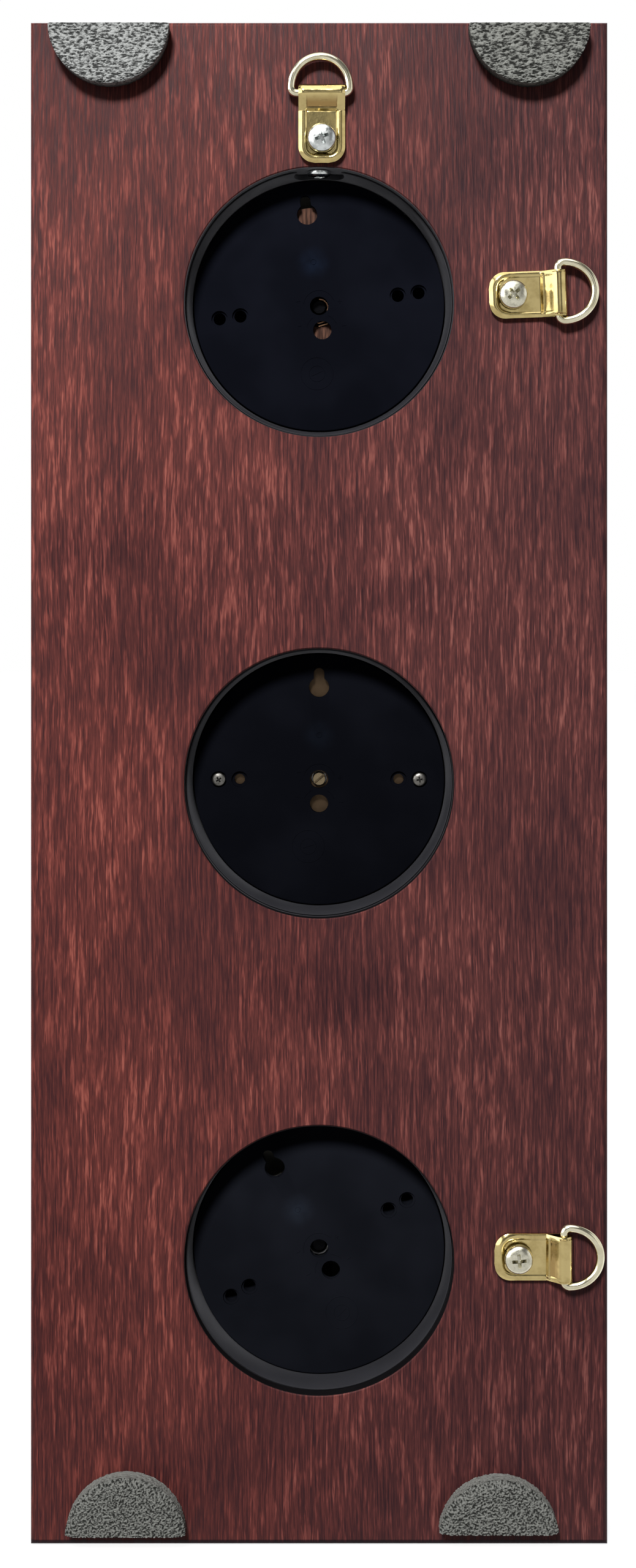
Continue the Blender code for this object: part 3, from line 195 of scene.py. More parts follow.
def combine(piece, tools, operation="DIFFERENCE"):
    for tool in tools:
        modifier = piece.modifiers.new(tool.name, "BOOLEAN")
        assign(modifier, operation=operation, solver="EXACT", object=tool)
    bake(piece)
    for tool in tools:
        bpy.data.objects.remove(tool)


def join_rings(bm, low, high):
    """Faces between two closed rings of vertices."""
    for index in range(len(low)):
        bm.faces.new((low[index - 1], low[index], high[index], high[index - 1]))


def join_rows(bm, rows):
    """Faces between neighbouring rows of vertices."""
    for upper, lower in zip(rows, rows[1:]):
        for column in range(len(upper) - 1):
            bm.faces.new((upper[column], upper[column + 1], lower[column + 1], lower[column]))


def add_solid(bm, levels):
    """A closed solid through (depth, outline) levels."""
    rings = [[bm.verts.new(face_back(a, depth, b)) for a, b in outline] for depth, outline in levels]
    bm.faces.new(rings[0])
    bm.faces.new(reversed(rings[-1]))
    for low, high in zip(rings, rings[1:]):
        join_rings(bm, low, high)


def loft(name, levels):
    bm = bmesh.new()
    add_solid(bm, levels)
    return welded(name, bm)


def prism(name, outline, back, front):
    return loft(name, [(back, outline), (front, outline)])


def lathe(name, profile, segments=FINE):
    """A piece turned about the depth axis from a profile, closed at the axis or as a ring."""
    bm = bmesh.new()
    turns = [tau * step / segments for step in range(segments)]
    rings = []
    for radius, depth in profile:
        if radius == 0:
            rings.append([bm.verts.new((0, -depth, 0))])
        else:
            rings.append([bm.verts.new((radius * cos(a), -depth, radius * sin(a))) for a in turns])
    pairs = list(zip(rings, rings[1:]))
    if profile[0][0] > 0:
        pairs.append((rings[-1], rings[0]))
    for low, high in pairs:
        for step, after in enumerate(range(1, segments + 1)):
            corners = (low[step % len(low)], low[after % len(low)],
                       high[after % len(high)], high[step % len(high)])
            bm.faces.new(tuple(dict.fromkeys(corners)))
    return welded(name, bm)


def moved(piece, matrix):
    piece.data.transform(matrix)
    return piece


def slab(back, front, outer, inner=0):
    """The profile of a disk, or of a ring."""
    return [(inner, back), (outer, back), (outer, front), (inner, front)]


def rod(name, radius, back, front, across, up=0):
    return moved(lathe(name, slab(back, front, radius), MEDIUM), move((across, 0, up)))


def rectangle(half_width, half_height):
    return [(-half_width, -half_height), (half_width, -half_height),
            (half_width, half_height), (-half_width, half_height)]


def quarter(steps):
    """Sines and cosines at equal steps of a quarter turn."""
    return [(sin(pi / 2 * step / steps), cos(pi / 2 * step / steps)) for step in range(steps + 1)]


def tube(name, points, radius, cyclic, sides):
    curve = bpy.data.curves.new(name, "CURVE")
    assign(curve, dimensions="3D", bevel_depth=radius, bevel_resolution=sides, use_fill_caps=True)
    spline = curve.splines.new("POLY")
    spline.points.add(len(points) - 1)
    for point, place in zip(spline.points, points):
        point.co = (*place, 1)
    spline.use_cyclic_u = cyclic
    return bake_curve(new_object(name, curve))


def arc(centre, radius, start, stop, steps):
    turns = [radians(start + (stop - start) * step / steps) for step in range(steps + 1)]
    return [(centre[0] + radius * cos(a), centre[1] + radius * sin(a)) for a in turns]


# Nodes of a finish

def feed(socket, value):
    """Links another node's output to a socket, or sets a number, a vector or a colour on it."""
    if isinstance(value, bpy.types.NodeSocket):
        socket.id_data.links.new(value, socket)
    else:
        socket.default_value = (*value, 1) if socket.type == "RGBA" else value


def add(kind, values, near=None, **settings):
    """The outputs of a new node, in the tree of what feeds it or of the socket near."""
    near = near or next(value for value in values.values() if isinstance(value, bpy.types.NodeSocket))
    made = assign(near.id_data.nodes.new("ShaderNode" + kind), **settings)
    for key, value in values.items():
        feed(made.inputs[key], value)
    return made.outputs


def start_finish(name, colour, roughness, metallic=0.0, specular=0.5):
    """A material, the place on its object, and its shader's sockets."""
    made = bpy.data.materials.new(name)
    made.use_nodes = True
    nodes = made.node_tree.nodes
    shader = nodes["Principled BSDF"].inputs
    feed(shader["Base Color"], colour)
    feed(shader["Roughness"], roughness)
    feed(shader["Metallic"], metallic)
    feed(shader["Specular IOR Level"], specular)
    return made, nodes.new("ShaderNodeTexCoord").outputs["Object"], shader


def parts_of(vector):
    return add("SeparateXYZ", {"Vector": vector})


def scaled(place, scale, offset=(0, 0, 0)):
    """A place times one scale, or one for each direction."""
    scale = scale if isinstance(scale, tuple) else (scale,) * 3
    return add("Mapping", {"Vector": place, "Scale": scale, "Location": offset})["Vector"]


def grain(place, scale, detail=2.0, roughness=0.5, offset=(0, 0, 0)):
    vector = scaled(place, scale, offset)
    return add("TexNoise", {"Vector": vector, "Scale": 1.0, "Detail": detail, "Roughness": roughness})["Fac"]


def stored(near, name):
    """A value that is stored with the mesh."""
    return add("Attribute", {}, near, attribute_name=name)["Fac"]


def spread(value, low, high, bottom=0.0, top=1.0):
    values = {"Value": value, "From Min": low, "From Max": high, "To Min": bottom, "To Max": top}
    return add("MapRange", values, interpolation_type="SMOOTHSTEP")["Result"]


def calculate(operation, *values):
    return add("Math", dict(enumerate(values)), operation=operation)["Value"]


times, over, plus, minus, larger = (
    partial(calculate, name) for name in ("MULTIPLY", "DIVIDE", "ADD", "SUBTRACT", "MAXIMUM"))


def compared(operation, vector, other):
    """The distance or the dot product of a vector and a fixed one."""
    return add("VectorMath", {0: vector, 1: other}, operation=operation)["Value"]


def blended(factor, first, second, mode="MIX"):
    values = {0: factor, 6: first, 7: second}
    return add("Mix", values, data_type="RGBA", blend_type=mode, clamp_factor=True)[2]


def tinted(colour, tint):
    return blended(1.0, colour, tint, "MULTIPLY")


def toned(colour, amount):
    return tuple(amount * part for part in colour)


def bumped(shader, height, strength, distance):
    values = {"Height": height, "Strength": strength, "Distance": distance}
    feed(shader["Normal"], add("Bump", values)["Normal"])


def ramp(value, stops):
    made = value.id_data.nodes.new("ShaderNodeValToRGB")
    points = made.color_ramp.elements
    while len(points) < len(stops):
        points.new(0.5)
    for point, (place, colour) in zip(points, stops):
        point.position = place
        point.color = (*colour, 1)
    feed(made.inputs["Fac"], value)
    return made.outputs["Color"]


# Finishes

WOOD_TONES = (
    (0.02, (0.036, 0.012, 0.014)), (0.32, (0.085, 0.024, 0.022)),
    (0.62, (0.165, 0.045, 0.038)), (0.95, (0.285, 0.090, 0.071)),
)
HALO = WELL_RADIUS * 1.32
# Across, up, reach across, reach up and strength of each darker area; the last ones surround the wells
STAINS = (
    (0.050, -0.109, 0.022, 0.013, 0.75),
    (-0.012, -0.121, 0.034, 0.012, 0.55),
    (-0.030, -0.085, 0.016, 0.020, 0.35),
    (-0.006, -0.209, 0.030, 0.014, 0.60),
    (-0.046, -0.020, 0.028, 0.016, 0.55),
    (-0.042, -0.318, 0.030, 0.014, 0.45),
    (0.026, -0.318, 0.024, 0.012, 0.35),
    (0.004, -0.106, 0.034, 0.017, 0.50),
    (0.016, -0.004, 0.034, 0.022, 0.40),
    *((0, up, HALO, HALO, 0.9) for up in UNITS.values()),
)


def placed_shade(parts, across, up, wide, tall):
    """1 at a place on the board's face, fading to 0 at its reach across and up."""
    across, up = over(minus(parts["X"], across), wide), over(minus(parts["Z"], up), tall)
    squares = plus(times(across, across), times(up, up))
    return spread(calculate("SQRT", squares), 0.25, 1.0, 1.0, 0.0)


def dark_edges(parts):
    """Painted shade along the lower and right edges of the board's back, which turn away from the lamp."""
    right_edge = -BOARD_WIDTH / 2
    lower = spread(parts["Z"], BOARD_BOTTOM + 0.0010, BOARD_BOTTOM + 0.0014, 1.0, 0.0)
    right = spread(parts["X"], right_edge + 0.0010, right_edge + 0.0014, 0.50, 0.0)
    return times(larger(lower, right), spread(parts["Y"], BACK_Y - 0.0016, BACK_Y - 0.0011))


def wood_finish():
    """Dark red stained board: short pale flecks on fine vertical fibres, with cloudy darker areas."""
    made, place, shader = start_finish("stained_wood", (0.15, 0.05, 0.045), 0.5, specular=0.12)
    parts = parts_of(place)
    wave = times(minus(grain(place, (26, 26, 12), 1.0), 0.5), 0.004)
    bent = add("CombineXYZ", {"X": plus(parts["X"], wave), "Y": parts["Y"], "Z": parts["Z"]})["Vector"]
    flecks = grain(bent, (1500, 300, 150), 2.5, 0.6)
    streaks = grain(bent, (2300, 420, 90), 3.0, 0.7, (9, 4, 2))
    fibres = grain(bent, (4800, 700, 230), 2.0, 0.65, (3, 1, 7))
    clouds = grain(bent, (34, 20, 15), 2.5, 0.55, (1.7, 0, 4.2))
    tints = grain(bent, (18, 12, 9), 1.5, 0.5, (6.1, 0, 2.3))

    pale = times(spread(flecks, 0.48, 0.68), spread(clouds, 0.30, 0.66, 0.30, 1.0))
    value = times(spread(streaks, 0.32, 0.68), 0.36)
    value = plus(value, times(pale, 0.52))
    value = plus(value, times(spread(fibres, 0.30, 0.70), 0.22))
    value = plus(value, spread(clouds, 0.30, 0.70, -0.14, 0.06))
    base = ramp(value, WOOD_TONES)
    shade = spread(tints, 0.46, 0.66, 0.0, 0.45)
    for *area, strength in STAINS:
        shade = larger(shade, times(placed_shade(parts, *area), strength))
    ragged = times(shade, spread(streaks, 0.25, 0.7, 1.15, 0.55))
    base = blended(ragged, base, tinted(base, (0.46, 0.43, 0.52)))
    cooled, warmed = tinted(base, (0.88, 0.97, 1.03)), tinted(base, (1.10, 0.98, 0.94))
    base = blended(spread(parts["X"], -0.055, 0.055), cooled, warmed)
    # Painted shade on the eased lower and right edges
    base = blended(dark_edges(parts), base, tinted(base, (0.12, 0.12, 0.20)))
    feed(shader["Base Color"], base)
    bumped(shader, plus(times(flecks, 0.6), times(fibres, 0.5)), 0.30, 0.0004)
    feed(shader["Roughness"], spread(streaks, 0.3, 0.7, 0.45, 0.62))
    return made


def foam_finish(name, light, dark):
    """Crumpled foam: its hollows, stored with the mesh as crease depth, get painted shade."""
    made, place, shader = start_finish(name, light, 0.95, specular=0.1)
    speckle = grain(place, 3600)
    colour = blended(spread(speckle, 0.35, 0.7, 0.0, 0.5), light, dark)
    hollow = spread(stored(place, "crease"), 0.20, 0.90)
    feed(shader["Base Color"], blended(hollow, colour, toned(dark, 0.16)))
    bumped(shader, speckle, 0.5, 0.00020)
    return made


def metal_finish(name, colour, shade, roughness, wear, scale, hollow=0.13):
    """Plated metal with faint uneven polish; shade is its dull places. Stored creases and recesses get
    painted shade, and so does a strap's ramp where a slope is stored.
    """
    made, place, shader = start_finish(name, colour, roughness, 1.0)
    patches = grain(place, scale, 3.0, 0.6)
    base = blended(spread(patches, 0.4, 0.75), colour, shade)
    # Painted shade: darker on a strap's ramp and in stored creases and recesses
    slope = tuple(a * b for a, b in zip(colour, (0.62, 0.50, 0.42)))
    base = blended(stored(place, "slope"), base, slope)
    feed(shader["Base Color"], blended(stored(place, "crease"), base, toned(colour, hollow)))
    feed(shader["Roughness"], spread(patches, 0.35, 0.7, roughness, roughness + wear))
    bumped(shader, plus(patches, times(grain(place, scale * 7), 0.2)), 0.10, 0.0003)
    return made


def plastic_finish(name, colour, roughness, specular, dust=0.0, painted_sheen=None):
    """Moulded plastic with a slight texture; dust adds pale specks, and the last argument a painted bluish
    sheen spot.
    """
    made, place, shader = start_finish(name, colour, roughness, 0.0, specular)
    cloud = grain(place, 60)
    base = blended(spread(cloud, 0.35, 0.7, 0.0, 0.6), colour, toned(colour, 1.7))
    if painted_sheen:
        # Painted sheen: a bluish spot, broken up by noise
        spot, reach, tint = painted_sheen
        near = spread(compared("DISTANCE", place, spot), 0.0, reach, 1.0, 0.0)
        base = blended(times(near, grain(place, 420)), base, tint)
    if dust:
        specks = add("TexVoronoi", {"Vector": scaled(place, 330), "Scale": 1.0})
        chosen = add("SeparateColor", {"Color": specks["Color"]})["Red"]
        small = calculate("LESS_THAN", specks["Distance"], 0.035)
        rare = calculate("GREATER_THAN", chosen, 1.0 - dust)
        base = blended(times(small, rare), base, (0.35, 0.36, 0.38))
    feed(shader["Base Color"], base)
    feed(shader["Roughness"], spread(cloud, 0.3, 0.7, roughness - 0.04, roughness + 0.06))
    bumped(shader, grain(place, 900, 3.0), 0.05, 0.0001)
    return made


def sleeve_finish():
    """Satin black lining with painted light: paler where it faces down, away from the lamp, so that it looks
    even all round.
    """
    made, place, shader = start_finish("sleeve_plastic", (0.03, 0.03, 0.033), 0.45, specular=0.15)
    normal = add("NewGeometry", {}, place)["Normal"]
    # Painted light: the lining is darker where it faces the lamp and paler where it faces away
    even = spread(compared("DOT_PRODUCT", normal, (0.20, 0.80, 0.55)), -0.7, 0.7)
    base = blended(even, (0.36, 0.36, 0.385), (0.026, 0.026, 0.030))
    cloud = spread(grain(place, 120), 0.3, 0.7, 0.0, 0.25)
    feed(shader["Base Color"], blended(cloud, base, (0.012, 0.012, 0.014)))
    return made


def enamel_finish(name, colour, roughness=0.45):
    made, place, shader = start_finish(name, colour, roughness)
    uneven = spread(grain(place, 160, 3.0), 0.35, 0.7)
    feed(shader["Base Color"], blended(uneven, colour, toned(colour, 0.93)))
    bumped(shader, grain(place, 1500), 0.04, 0.0001)
    return made


def fibreboard_finish():
    made, place, shader = start_finish("fibreboard", (0.19, 0.09, 0.065), 0.85, specular=0.2)
    fibres = grain(place, (1900, 600, 210))
    dark = spread(fibres, 0.35, 0.65)
    feed(shader["Base Color"], blended(dark, (0.110, 0.052, 0.034), (0.030, 0.013, 0.009)))
    bumped(shader, fibres, 0.3, 0.0002)
    return made


def glass_finish():
    """Clear pane that lets lamp light reach the dial."""
    made, place, shader = start_finish("pane", (0.97, 0.98, 0.98), 0.02)
    feed(shader["Transmission Weight"], 1.0)
    feed(shader["IOR"], 1.48)
    feed(shader["Roughness"], spread(grain(place, 90), 0.4, 0.75, 0.01, 0.05))
    nodes = made.node_tree.nodes
    glass = nodes["Principled BSDF"].outputs["BSDF"]
    clear = add("BsdfTransparent", {}, place)["BSDF"]
    in_shadow = add("LightPath", {}, place)["Is Shadow Ray"]
    either = add("MixShader", {0: in_shadow, 1: glass, 2: clear})["Shader"]
    feed(nodes["Material Output"].inputs["Surface"], either)
    return made


# Material name, colour, dull colour, roughness, its unevenness, scale of the polish, tone of the painted
# shade in recesses
METALS = {
    "strap": ("strap_plating", (0.64, 0.51, 0.23), (0.48, 0.37, 0.15), 0.09, 0.10, 260, 0.10),
    "ring": ("ring_plating", (0.82, 0.77, 0.57), (0.64, 0.58, 0.39), 0.10, 0.10, 260),
    "zinc": ("zinc", (0.74, 0.77, 0.76), (0.44, 0.46, 0.45), 0.17, 0.16, 900, 0.62),
    "warm_zinc": ("warm_zinc", (0.74, 0.71, 0.57), (0.48, 0.46, 0.36), 0.17, 0.16, 900, 0.72),
    "dull_zinc": ("dull_zinc", (0.17, 0.163, 0.15), (0.06, 0.057, 0.052), 0.30, 0.20, 1500, 0.25),
    "aged_brass": ("aged_brass", (0.20, 0.155, 0.095), (0.10, 0.075, 0.045), 0.32, 0.20, 900, 0.05),
    # Painted shade: parts seen through the holes in a case's back are darkened, the arbors and brackets to
    # near black and the frame plate to dark brown
    "blued": ("blued_steel", (0.005, 0.005, 0.006), (0.003, 0.003, 0.0035), 0.45, 0.1, 300),
    "plate": ("aged_brass_plate", (0.060, 0.040, 0.024), (0.042, 0.028, 0.017), 0.45, 0.14, 260),
    "bezel": ("bezel_brass", (0.83, 0.62, 0.28), (0.70, 0.50, 0.20), 0.14, 0.06, 90),
    "steel": ("rolled_steel", (0.46, 0.46, 0.47), (0.33, 0.33, 0.34), 0.28, 0.12, 300),
    "copper": ("bimetal", (0.55, 0.31, 0.18), (0.40, 0.22, 0.13), 0.30, 0.12, 300),
    "brass": ("movement_brass", (0.44, 0.35, 0.20), (0.30, 0.23, 0.13), 0.34, 0.14, 260),
}
# Colour of each case and of the painted sheen spot above its middle
CASE_COLOURS = {
    "thermometer": ((0.0042, 0.0047, 0.0075), (0.009, 0.014, 0.028)),
    "barometer": ((0.0032, 0.0035, 0.0052), (0.006, 0.008, 0.013)),
    "hygrometer": ((0.0060, 0.0066, 0.0092), (0.018, 0.023, 0.034)),
}
# Place and reach of the painted sheen on each case
SHEEN_UP = 0.0100
SHEEN_REACH = 0.0046
INKS = {
    "ink": (0.012, 0.012, 0.014), "red": (0.40, 0.03, 0.02),
    "green": (0.04, 0.20, 0.07), "blue": (0.03, 0.09, 0.30),
}


def case_finish(name):
    colour, tint = CASE_COLOURS[name]
    turn = Matrix.Rotation(radians(CASE_TURNS[name]), 3, "Y")
    place = Vector((0, BACK_Y - CASE_BACK, UNITS[name])) + turn @ Vector((0, 0, SHEEN_UP))
    return plastic_finish(name + "_plastic", colour, 0.17, 0.0, 0.02, (tuple(place), SHEEN_REACH, tint))


LOOKS = {
    **{key: metal_finish(*values) for key, values in METALS.items()},
    **{name + "_case": case_finish(name) for name in UNITS},
    **{key: enamel_finish("dial_" + key, colour) for key, colour in INKS.items()},
    "wood": wood_finish(),
    # Copies of one grey foam with painted light and shade: lightest for the upper left pad, darkest for the
    # lower pads
    "foam_painted_lit": foam_finish("foam_painted_lit", (0.42, 0.43, 0.42), (0.28, 0.287, 0.28)),
    "foam": foam_finish("foam_painted_half_shade", (0.27, 0.274, 0.253), (0.15, 0.152, 0.139)),
    "foam_painted_shade": foam_finish("foam_painted_shade", (0.225, 0.228, 0.211), (0.128, 0.130, 0.119)),
    "sleeve": sleeve_finish(),
    "well": plastic_finish("well_black_band", (0.0030, 0.0026, 0.0030), 0.55, 0.08, 0.02),
    "glass": glass_finish(),
    "spacer": enamel_finish("spacer_cream", (0.72, 0.68, 0.56), 0.5),
    "dial": enamel_finish("dial_enamel", (0.83, 0.80, 0.71), 0.42),
    "needle": plastic_finish("needle_enamel", (0.010, 0.010, 0.012), 0.32, 0.5),
    "fibre": fibreboard_finish(),
}


# Putting pieces in place

def settle(piece, finish, body, matrix, node=None, flat=False):
    """Gives a piece its place, finish and body, and hides the solid that it stands for."""
    moved(piece, matrix)
    piece.data.materials.clear()
    piece.data.materials.append(LOOKS[finish])
    if not flat:
        piece.data.shade_smooth()
        piece.data.set_sharp_from_angle(angle=SHARP)
    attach(piece, body)
    if node:
        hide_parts(node)


def unit_matrix(name, turn=0.0):
    return move((0, BACK_Y, UNITS[name])) @ turned(turn)


def hanger_matrix(name):
    across, up, turn = HANGERS[name]
    return move((across, RING_Y, up)) @ turned(turn)


def fit(piece, name, finish, part=None, turn=0.0):
    """Settles a piece of an instrument; part is the end of its solid's name."""
    node = name + "_" + part if part else None
    settle(piece, finish, name + "_unit", unit_matrix(name, turn), node)


# Board and pads

def board():
    edges = [(BACK_EASE * (1 - a), BACK_EASE * (1 - b)) for a, b in reversed(quarter(4))]
    edges += [(BOARD_THICKNESS - FRONT_ROUND * (1 - a), FRONT_ROUND * (1 - b)) for a, b in quarter(6)]
    levels = [(depth, rectangle(BOARD_WIDTH / 2 - inset, BOARD_HEIGHT / 2 - inset)) for depth, inset in edges]
    made = moved(loft("wall_board", levels), move((0, 0, BOARD_MIDDLE)))
    tools = []
    for name, up in UNITS.items():
        tool = lathe(name + "_well_tool", [
            (0, -OVERRUN), (WELL_RADIUS + OVERRUN, -OVERRUN), (WELL_RADIUS + WELL_EASE, 0),
            (WELL_RADIUS, WELL_EASE), (WELL_RADIUS, WELL_DEPTH), (BORE_RADIUS, WELL_DEPTH),
            (BORE_RADIUS, BOARD_THICKNESS + OVERRUN), (0, BOARD_THICKNESS + OVERRUN),
        ])
        tools.append(moved(tool, move((0, 0, up))))
    combine(made, tools)
    settle(made, "wood", "backboard", move((0, BACK_Y, 0)), "board")


PAD_RADIUS = 0.0135
PAD_DEPTH = 0.005
PAD_ROWS = 140
PAD_COLUMNS = 280
PAD_LEVELS = 28
# Width of the rounded edge of the lower pads and of the upper ones
PAD_EASES = (0.0028, 0.0010)
# How fine the crumples are across and up, on the upper pads' faces and elsewhere
CRUMPLES = ((1150, 2600), (2300, 2600))
FACE_CRUMPLE = 0.00036
SIDE_CRUMPLE = 0.00024
PAD_SHARP = radians(80)
# Across, whether it is at the top, height, distance to the board's edge, finish and seed; the finish paints
# light and shade on one grey foam, lightest at the upper left
PADS = {
    "pad_top_left": (0.0470, True, 0.0134, 0.0014, "foam_painted_lit", 1.0),
    "pad_top_right": (-0.0470, True, 0.0134, 0.0014, "foam", 2.0),
    "pad_bottom_left": (0.0433, False, 0.0127, 0.0042, "foam_painted_shade", 3.0),
    "pad_bottom_right": (-0.0402, False, 0.0117, 0.0047, "foam_painted_shade", 4.0),
}


def crinkle(place, seed):
    """Depth of the crumpled skin's hollows at a place on a pad, from 0 on the grains to 1."""
    across, up = CRUMPLES[seed > 2]
    base = Vector((place[0] * across, place[1] * up, seed * 7.3))
    base += Vector((noise.noise(base * 0.4), noise.noise(base * 0.3 + Vector((5.0, 9.0, 1.0))), 0)) * 0.6
    height = noise.noise(base) + 0.6 * noise.noise(base * 2.03 + Vector((11.0, 5.0, 0)))
    height += 0.35 * noise.noise(base * 4.1 + Vector((3.0, 17.0, 2.0)))
    seam = 1 - min(1.0, abs(noise.noise(base * 0.8 + Vector((7.0, 3.0, 4.0)))) * 5.0)
    return clamp(0.46 - 0.85 * height + 0.15 * seam)


def pad_face(bm, store, flat_up, height, at_top, seed):
    """Rows of vertices of a pad's crumpled face, from its flat side to its round one."""
    ease = PAD_EASES[at_top]
    rows = []
    for row in range(PAD_ROWS + 1):
        up = flat_up - height * (1 - (1 - row / PAD_ROWS) ** 1.25)
        reach = sqrt(max(PAD_RADIUS ** 2 - up ** 2, 0))
        line = []
        for column in range(PAD_COLUMNS + 1):
            x = reach * (2 * column / PAD_COLUMNS - 1)
            crease = crinkle((x, up), seed)
            round_off = max(0.0, 1 - (PAD_RADIUS - hypot(x, up)) / ease)
            low = FACE_CRUMPLE * crease + ease * round_off ** 2.4 * 0.45
            vert = bm.verts.new((x, -low, up))
            # The crease depth also sets how much painted shade the hollow gets
            vert[store] = crease
            line.append(vert)
        rows.append(line)
    return rows


def pad_sides(bm, store, border, flat_up, at_top, seed):
    """Rough side from the face's border down to the board, and the flat underside."""
    along = [0.0]
    for first, second in zip(border, border[1:]):
        along.append(along[-1] + (second.co - first.co).length)
    previous = border
    for level in range(1, PAD_LEVELS + 1):
        share = level / PAD_LEVELS
        ring = []
        for vert, run in zip(border, along):
            x, y, up = vert.co
            crease = crinkle((run, share * PAD_DEPTH), seed + 5)
            away = Vector((x, 0, up - flat_up / 2)).normalized()
            out = -SIDE_CRUMPLE * crease
            placed = bm.verts.new((x + away.x * out, y + (-PAD_DEPTH - y) * share, up + away.z * out))
            # Painted shade: the upper pads' sides darken towards the board; the lower pads' sides get less of
            # it towards the board
            placed[store] = max(crease, 0.9 * share) if at_top else crease * (0.85 - 0.35 * share)
            ring.append(placed)
        join_rings(bm, previous, ring)
        previous = ring
    bm.faces.new(previous)


def pad(name):
    """Half-round foam pad with a crumpled face, rounded edge and rough sides."""
    across, at_top, height, margin, finish, seed = PADS[name]
    flat_up = height - PAD_RADIUS
    bm = bmesh.new()
    store = bm.verts.layers.float.new("crease")
    rows = pad_face(bm, store, flat_up, height, at_top, seed)
    join_rows(bm, rows)
    border = [line[0] for line in rows] + rows[-1][1:-1] + [line[-1] for line in reversed(rows)]
    border += list(reversed(rows[0][1:-1]))
    pad_sides(bm, store, border, flat_up, at_top, seed)
    piece = welded(name + "_foam", bm)
    up = BOARD_HEIGHT / 2 - margin - flat_up
    matrix = move((across, 0, BOARD_MIDDLE + (up if at_top else -up)))
    matrix = matrix @ turned(0 if at_top else 180)
    settle(piece, finish, "backboard", matrix, name)
    piece.data.set_sharp_from_angle(angle=PAD_SHARP)


# Hangers

STRAP_HALF = 0.0051
STRAP_LENGTH = 0.0153
STRAP_THICKNESS = 0.0006
STRAP_CORNER = 0.0035
STRAP_RAMP = 0.0037
STRAP_EDGE = 0.00022
STRAP_COLUMNS = 64
LOOP_RADIUS = 0.0017
STRAP_TOP = -0.0005
SCREW_PLACE = 0.0101
RING_WIRE = 0.00095
RING_HALF = 0.00655
RING_REACH = 0.0082
RING_CORNER = 0.0013
RING_SLIP = 0.00035
# Width of the rim along the sides and at the end, its height, and how much painted shade darkens the ramp
RIMS = {
    "top": (0.0017, 0.0017, 0.00042, 1.0),
    "upper_side": (0.0011, 0.0020, 0.00045, 0.25),
    "lower_side": (0.0011, 0.0020, 0.00045, 0.8),
}
# Run at which the rims of a side strap start to grow towards its end, and the run that it takes
END_START = 0.0105
END_GROWTH = 0.003
# Width of the painted shade along the foot of each rim
RIM_CREASE = 0.00022


def strap_path():
    """(run, height) points of the strap's middle line, and whether each is on the top leaf."""
    low = -LOOP_RADIUS
    high = STRAP_TOP - STRAP_THICKNESS / 2
    bearing = degrees(atan2(high, -STRAP_RAMP)) % 360
    touch = bearing - degrees(acos(LOOP_RADIUS / hypot(STRAP_RAMP, high)))
    points = [(-STRAP_LENGTH * (1 - step / 24), low, False) for step in range(24)]
    points += [(run, rise, False) for run, rise in arc((0, 0), LOOP_RADIUS, -90, touch, 20)]
    start = Vector(points[-1][:2])
    stop = Vector((-STRAP_RAMP, high))
    points += [(*start.lerp(stop, step / 6), False) for step in range(1, 6)]
    points += [(-STRAP_RAMP - (STRAP_LENGTH - STRAP_RAMP) * step / 44, high, True) for step in range(45)]
    return points


def strap_edge(side, run):
    """Distance in from the outline of the strap's top leaf, which ends in round corners."""
    across = STRAP_HALF - abs(side)
    along = STRAP_LENGTH + run
    if across < STRAP_CORNER and along < STRAP_CORNER:
        return STRAP_CORNER - hypot(STRAP_CORNER - across, STRAP_CORNER - along)
    return min(across, along)


def strap_form(name, side, half, run, rise, on_top):
    """How far the sheet is sunk at a place, and how much painted shade its crease and its ramp get there."""
    if rise <= -LOOP_RADIUS * 0.55:
        return 0.0, 0.0, 0.0
    side_width, end_width, full_rise, dull = RIMS[name]
    edge = strap_edge(side, run) if on_top else half - abs(side)
    end = 1.0 if name == "top" else clamp((-run - END_START) / END_GROWTH)
    wide = side_width + (end_width - side_width) * end
    rim = clamp(edge / wide)
    full = 1.0 if on_top else clamp((-run - 0.0006) / 0.0012) if rise > 0.6 * STRAP_TOP else 0.0
    bump = max(0.0, sin(pi * rim ** 1.2)) ** 0.9 if rim < 1 else 0.0
    sink = (full_rise * (0.35 + 0.65 * end) * bump - full_rise) * (full if rim > 0.5 else 1.0)
    crease = full * max(0.0, 1 - abs(edge - wide) / RIM_CREASE) * 0.5
    # Painted shade on the ramp, standing in for its darker reflection
    slope = 0.0 if on_top or edge < wide * 0.9 else full * dull
    return sink, crease, slope


def strap(name):
    """Folded strap: the top leaf has rolled rims round a sunk panel, and a round-cornered end."""
    bm = bmesh.new()
    creases = bm.verts.layers.float.new("crease")
    slopes = bm.verts.layers.float.new("slope")
    lines = []
    for run, rise, on_top in strap_path():
        into = -run - (STRAP_LENGTH - STRAP_CORNER)
        half = STRAP_HALF
        if into > 0:
            half = STRAP_HALF - STRAP_CORNER + sqrt(max(STRAP_CORNER ** 2 - into ** 2, 0.0))
        line = []
        for column in range(STRAP_COLUMNS + 1):
            side = half * (2 * column / STRAP_COLUMNS - 1)
            sink, crease, slope = strap_form(name, side, half, run, rise, on_top)
            vert = bm.verts.new((side, rise + sink, run))
            vert[creases] = crease
            vert[slopes] = slope
            line.append(vert)
        lines.append(line)
    join_rows(bm, lines)
    piece = welded(name + "_strap_folded", bm)
    assign(piece.modifiers.new("sheet", "SOLIDIFY"), thickness=STRAP_THICKNESS, offset=0)
    edge = piece.modifiers.new("edge", "BEVEL")
    assign(edge, width=STRAP_EDGE, segments=3, limit_method="ANGLE", angle_limit=radians(60))
    bake(piece)
    settle(piece, "strap", "backboard", hanger_matrix(name), name + "_hanger_strap")


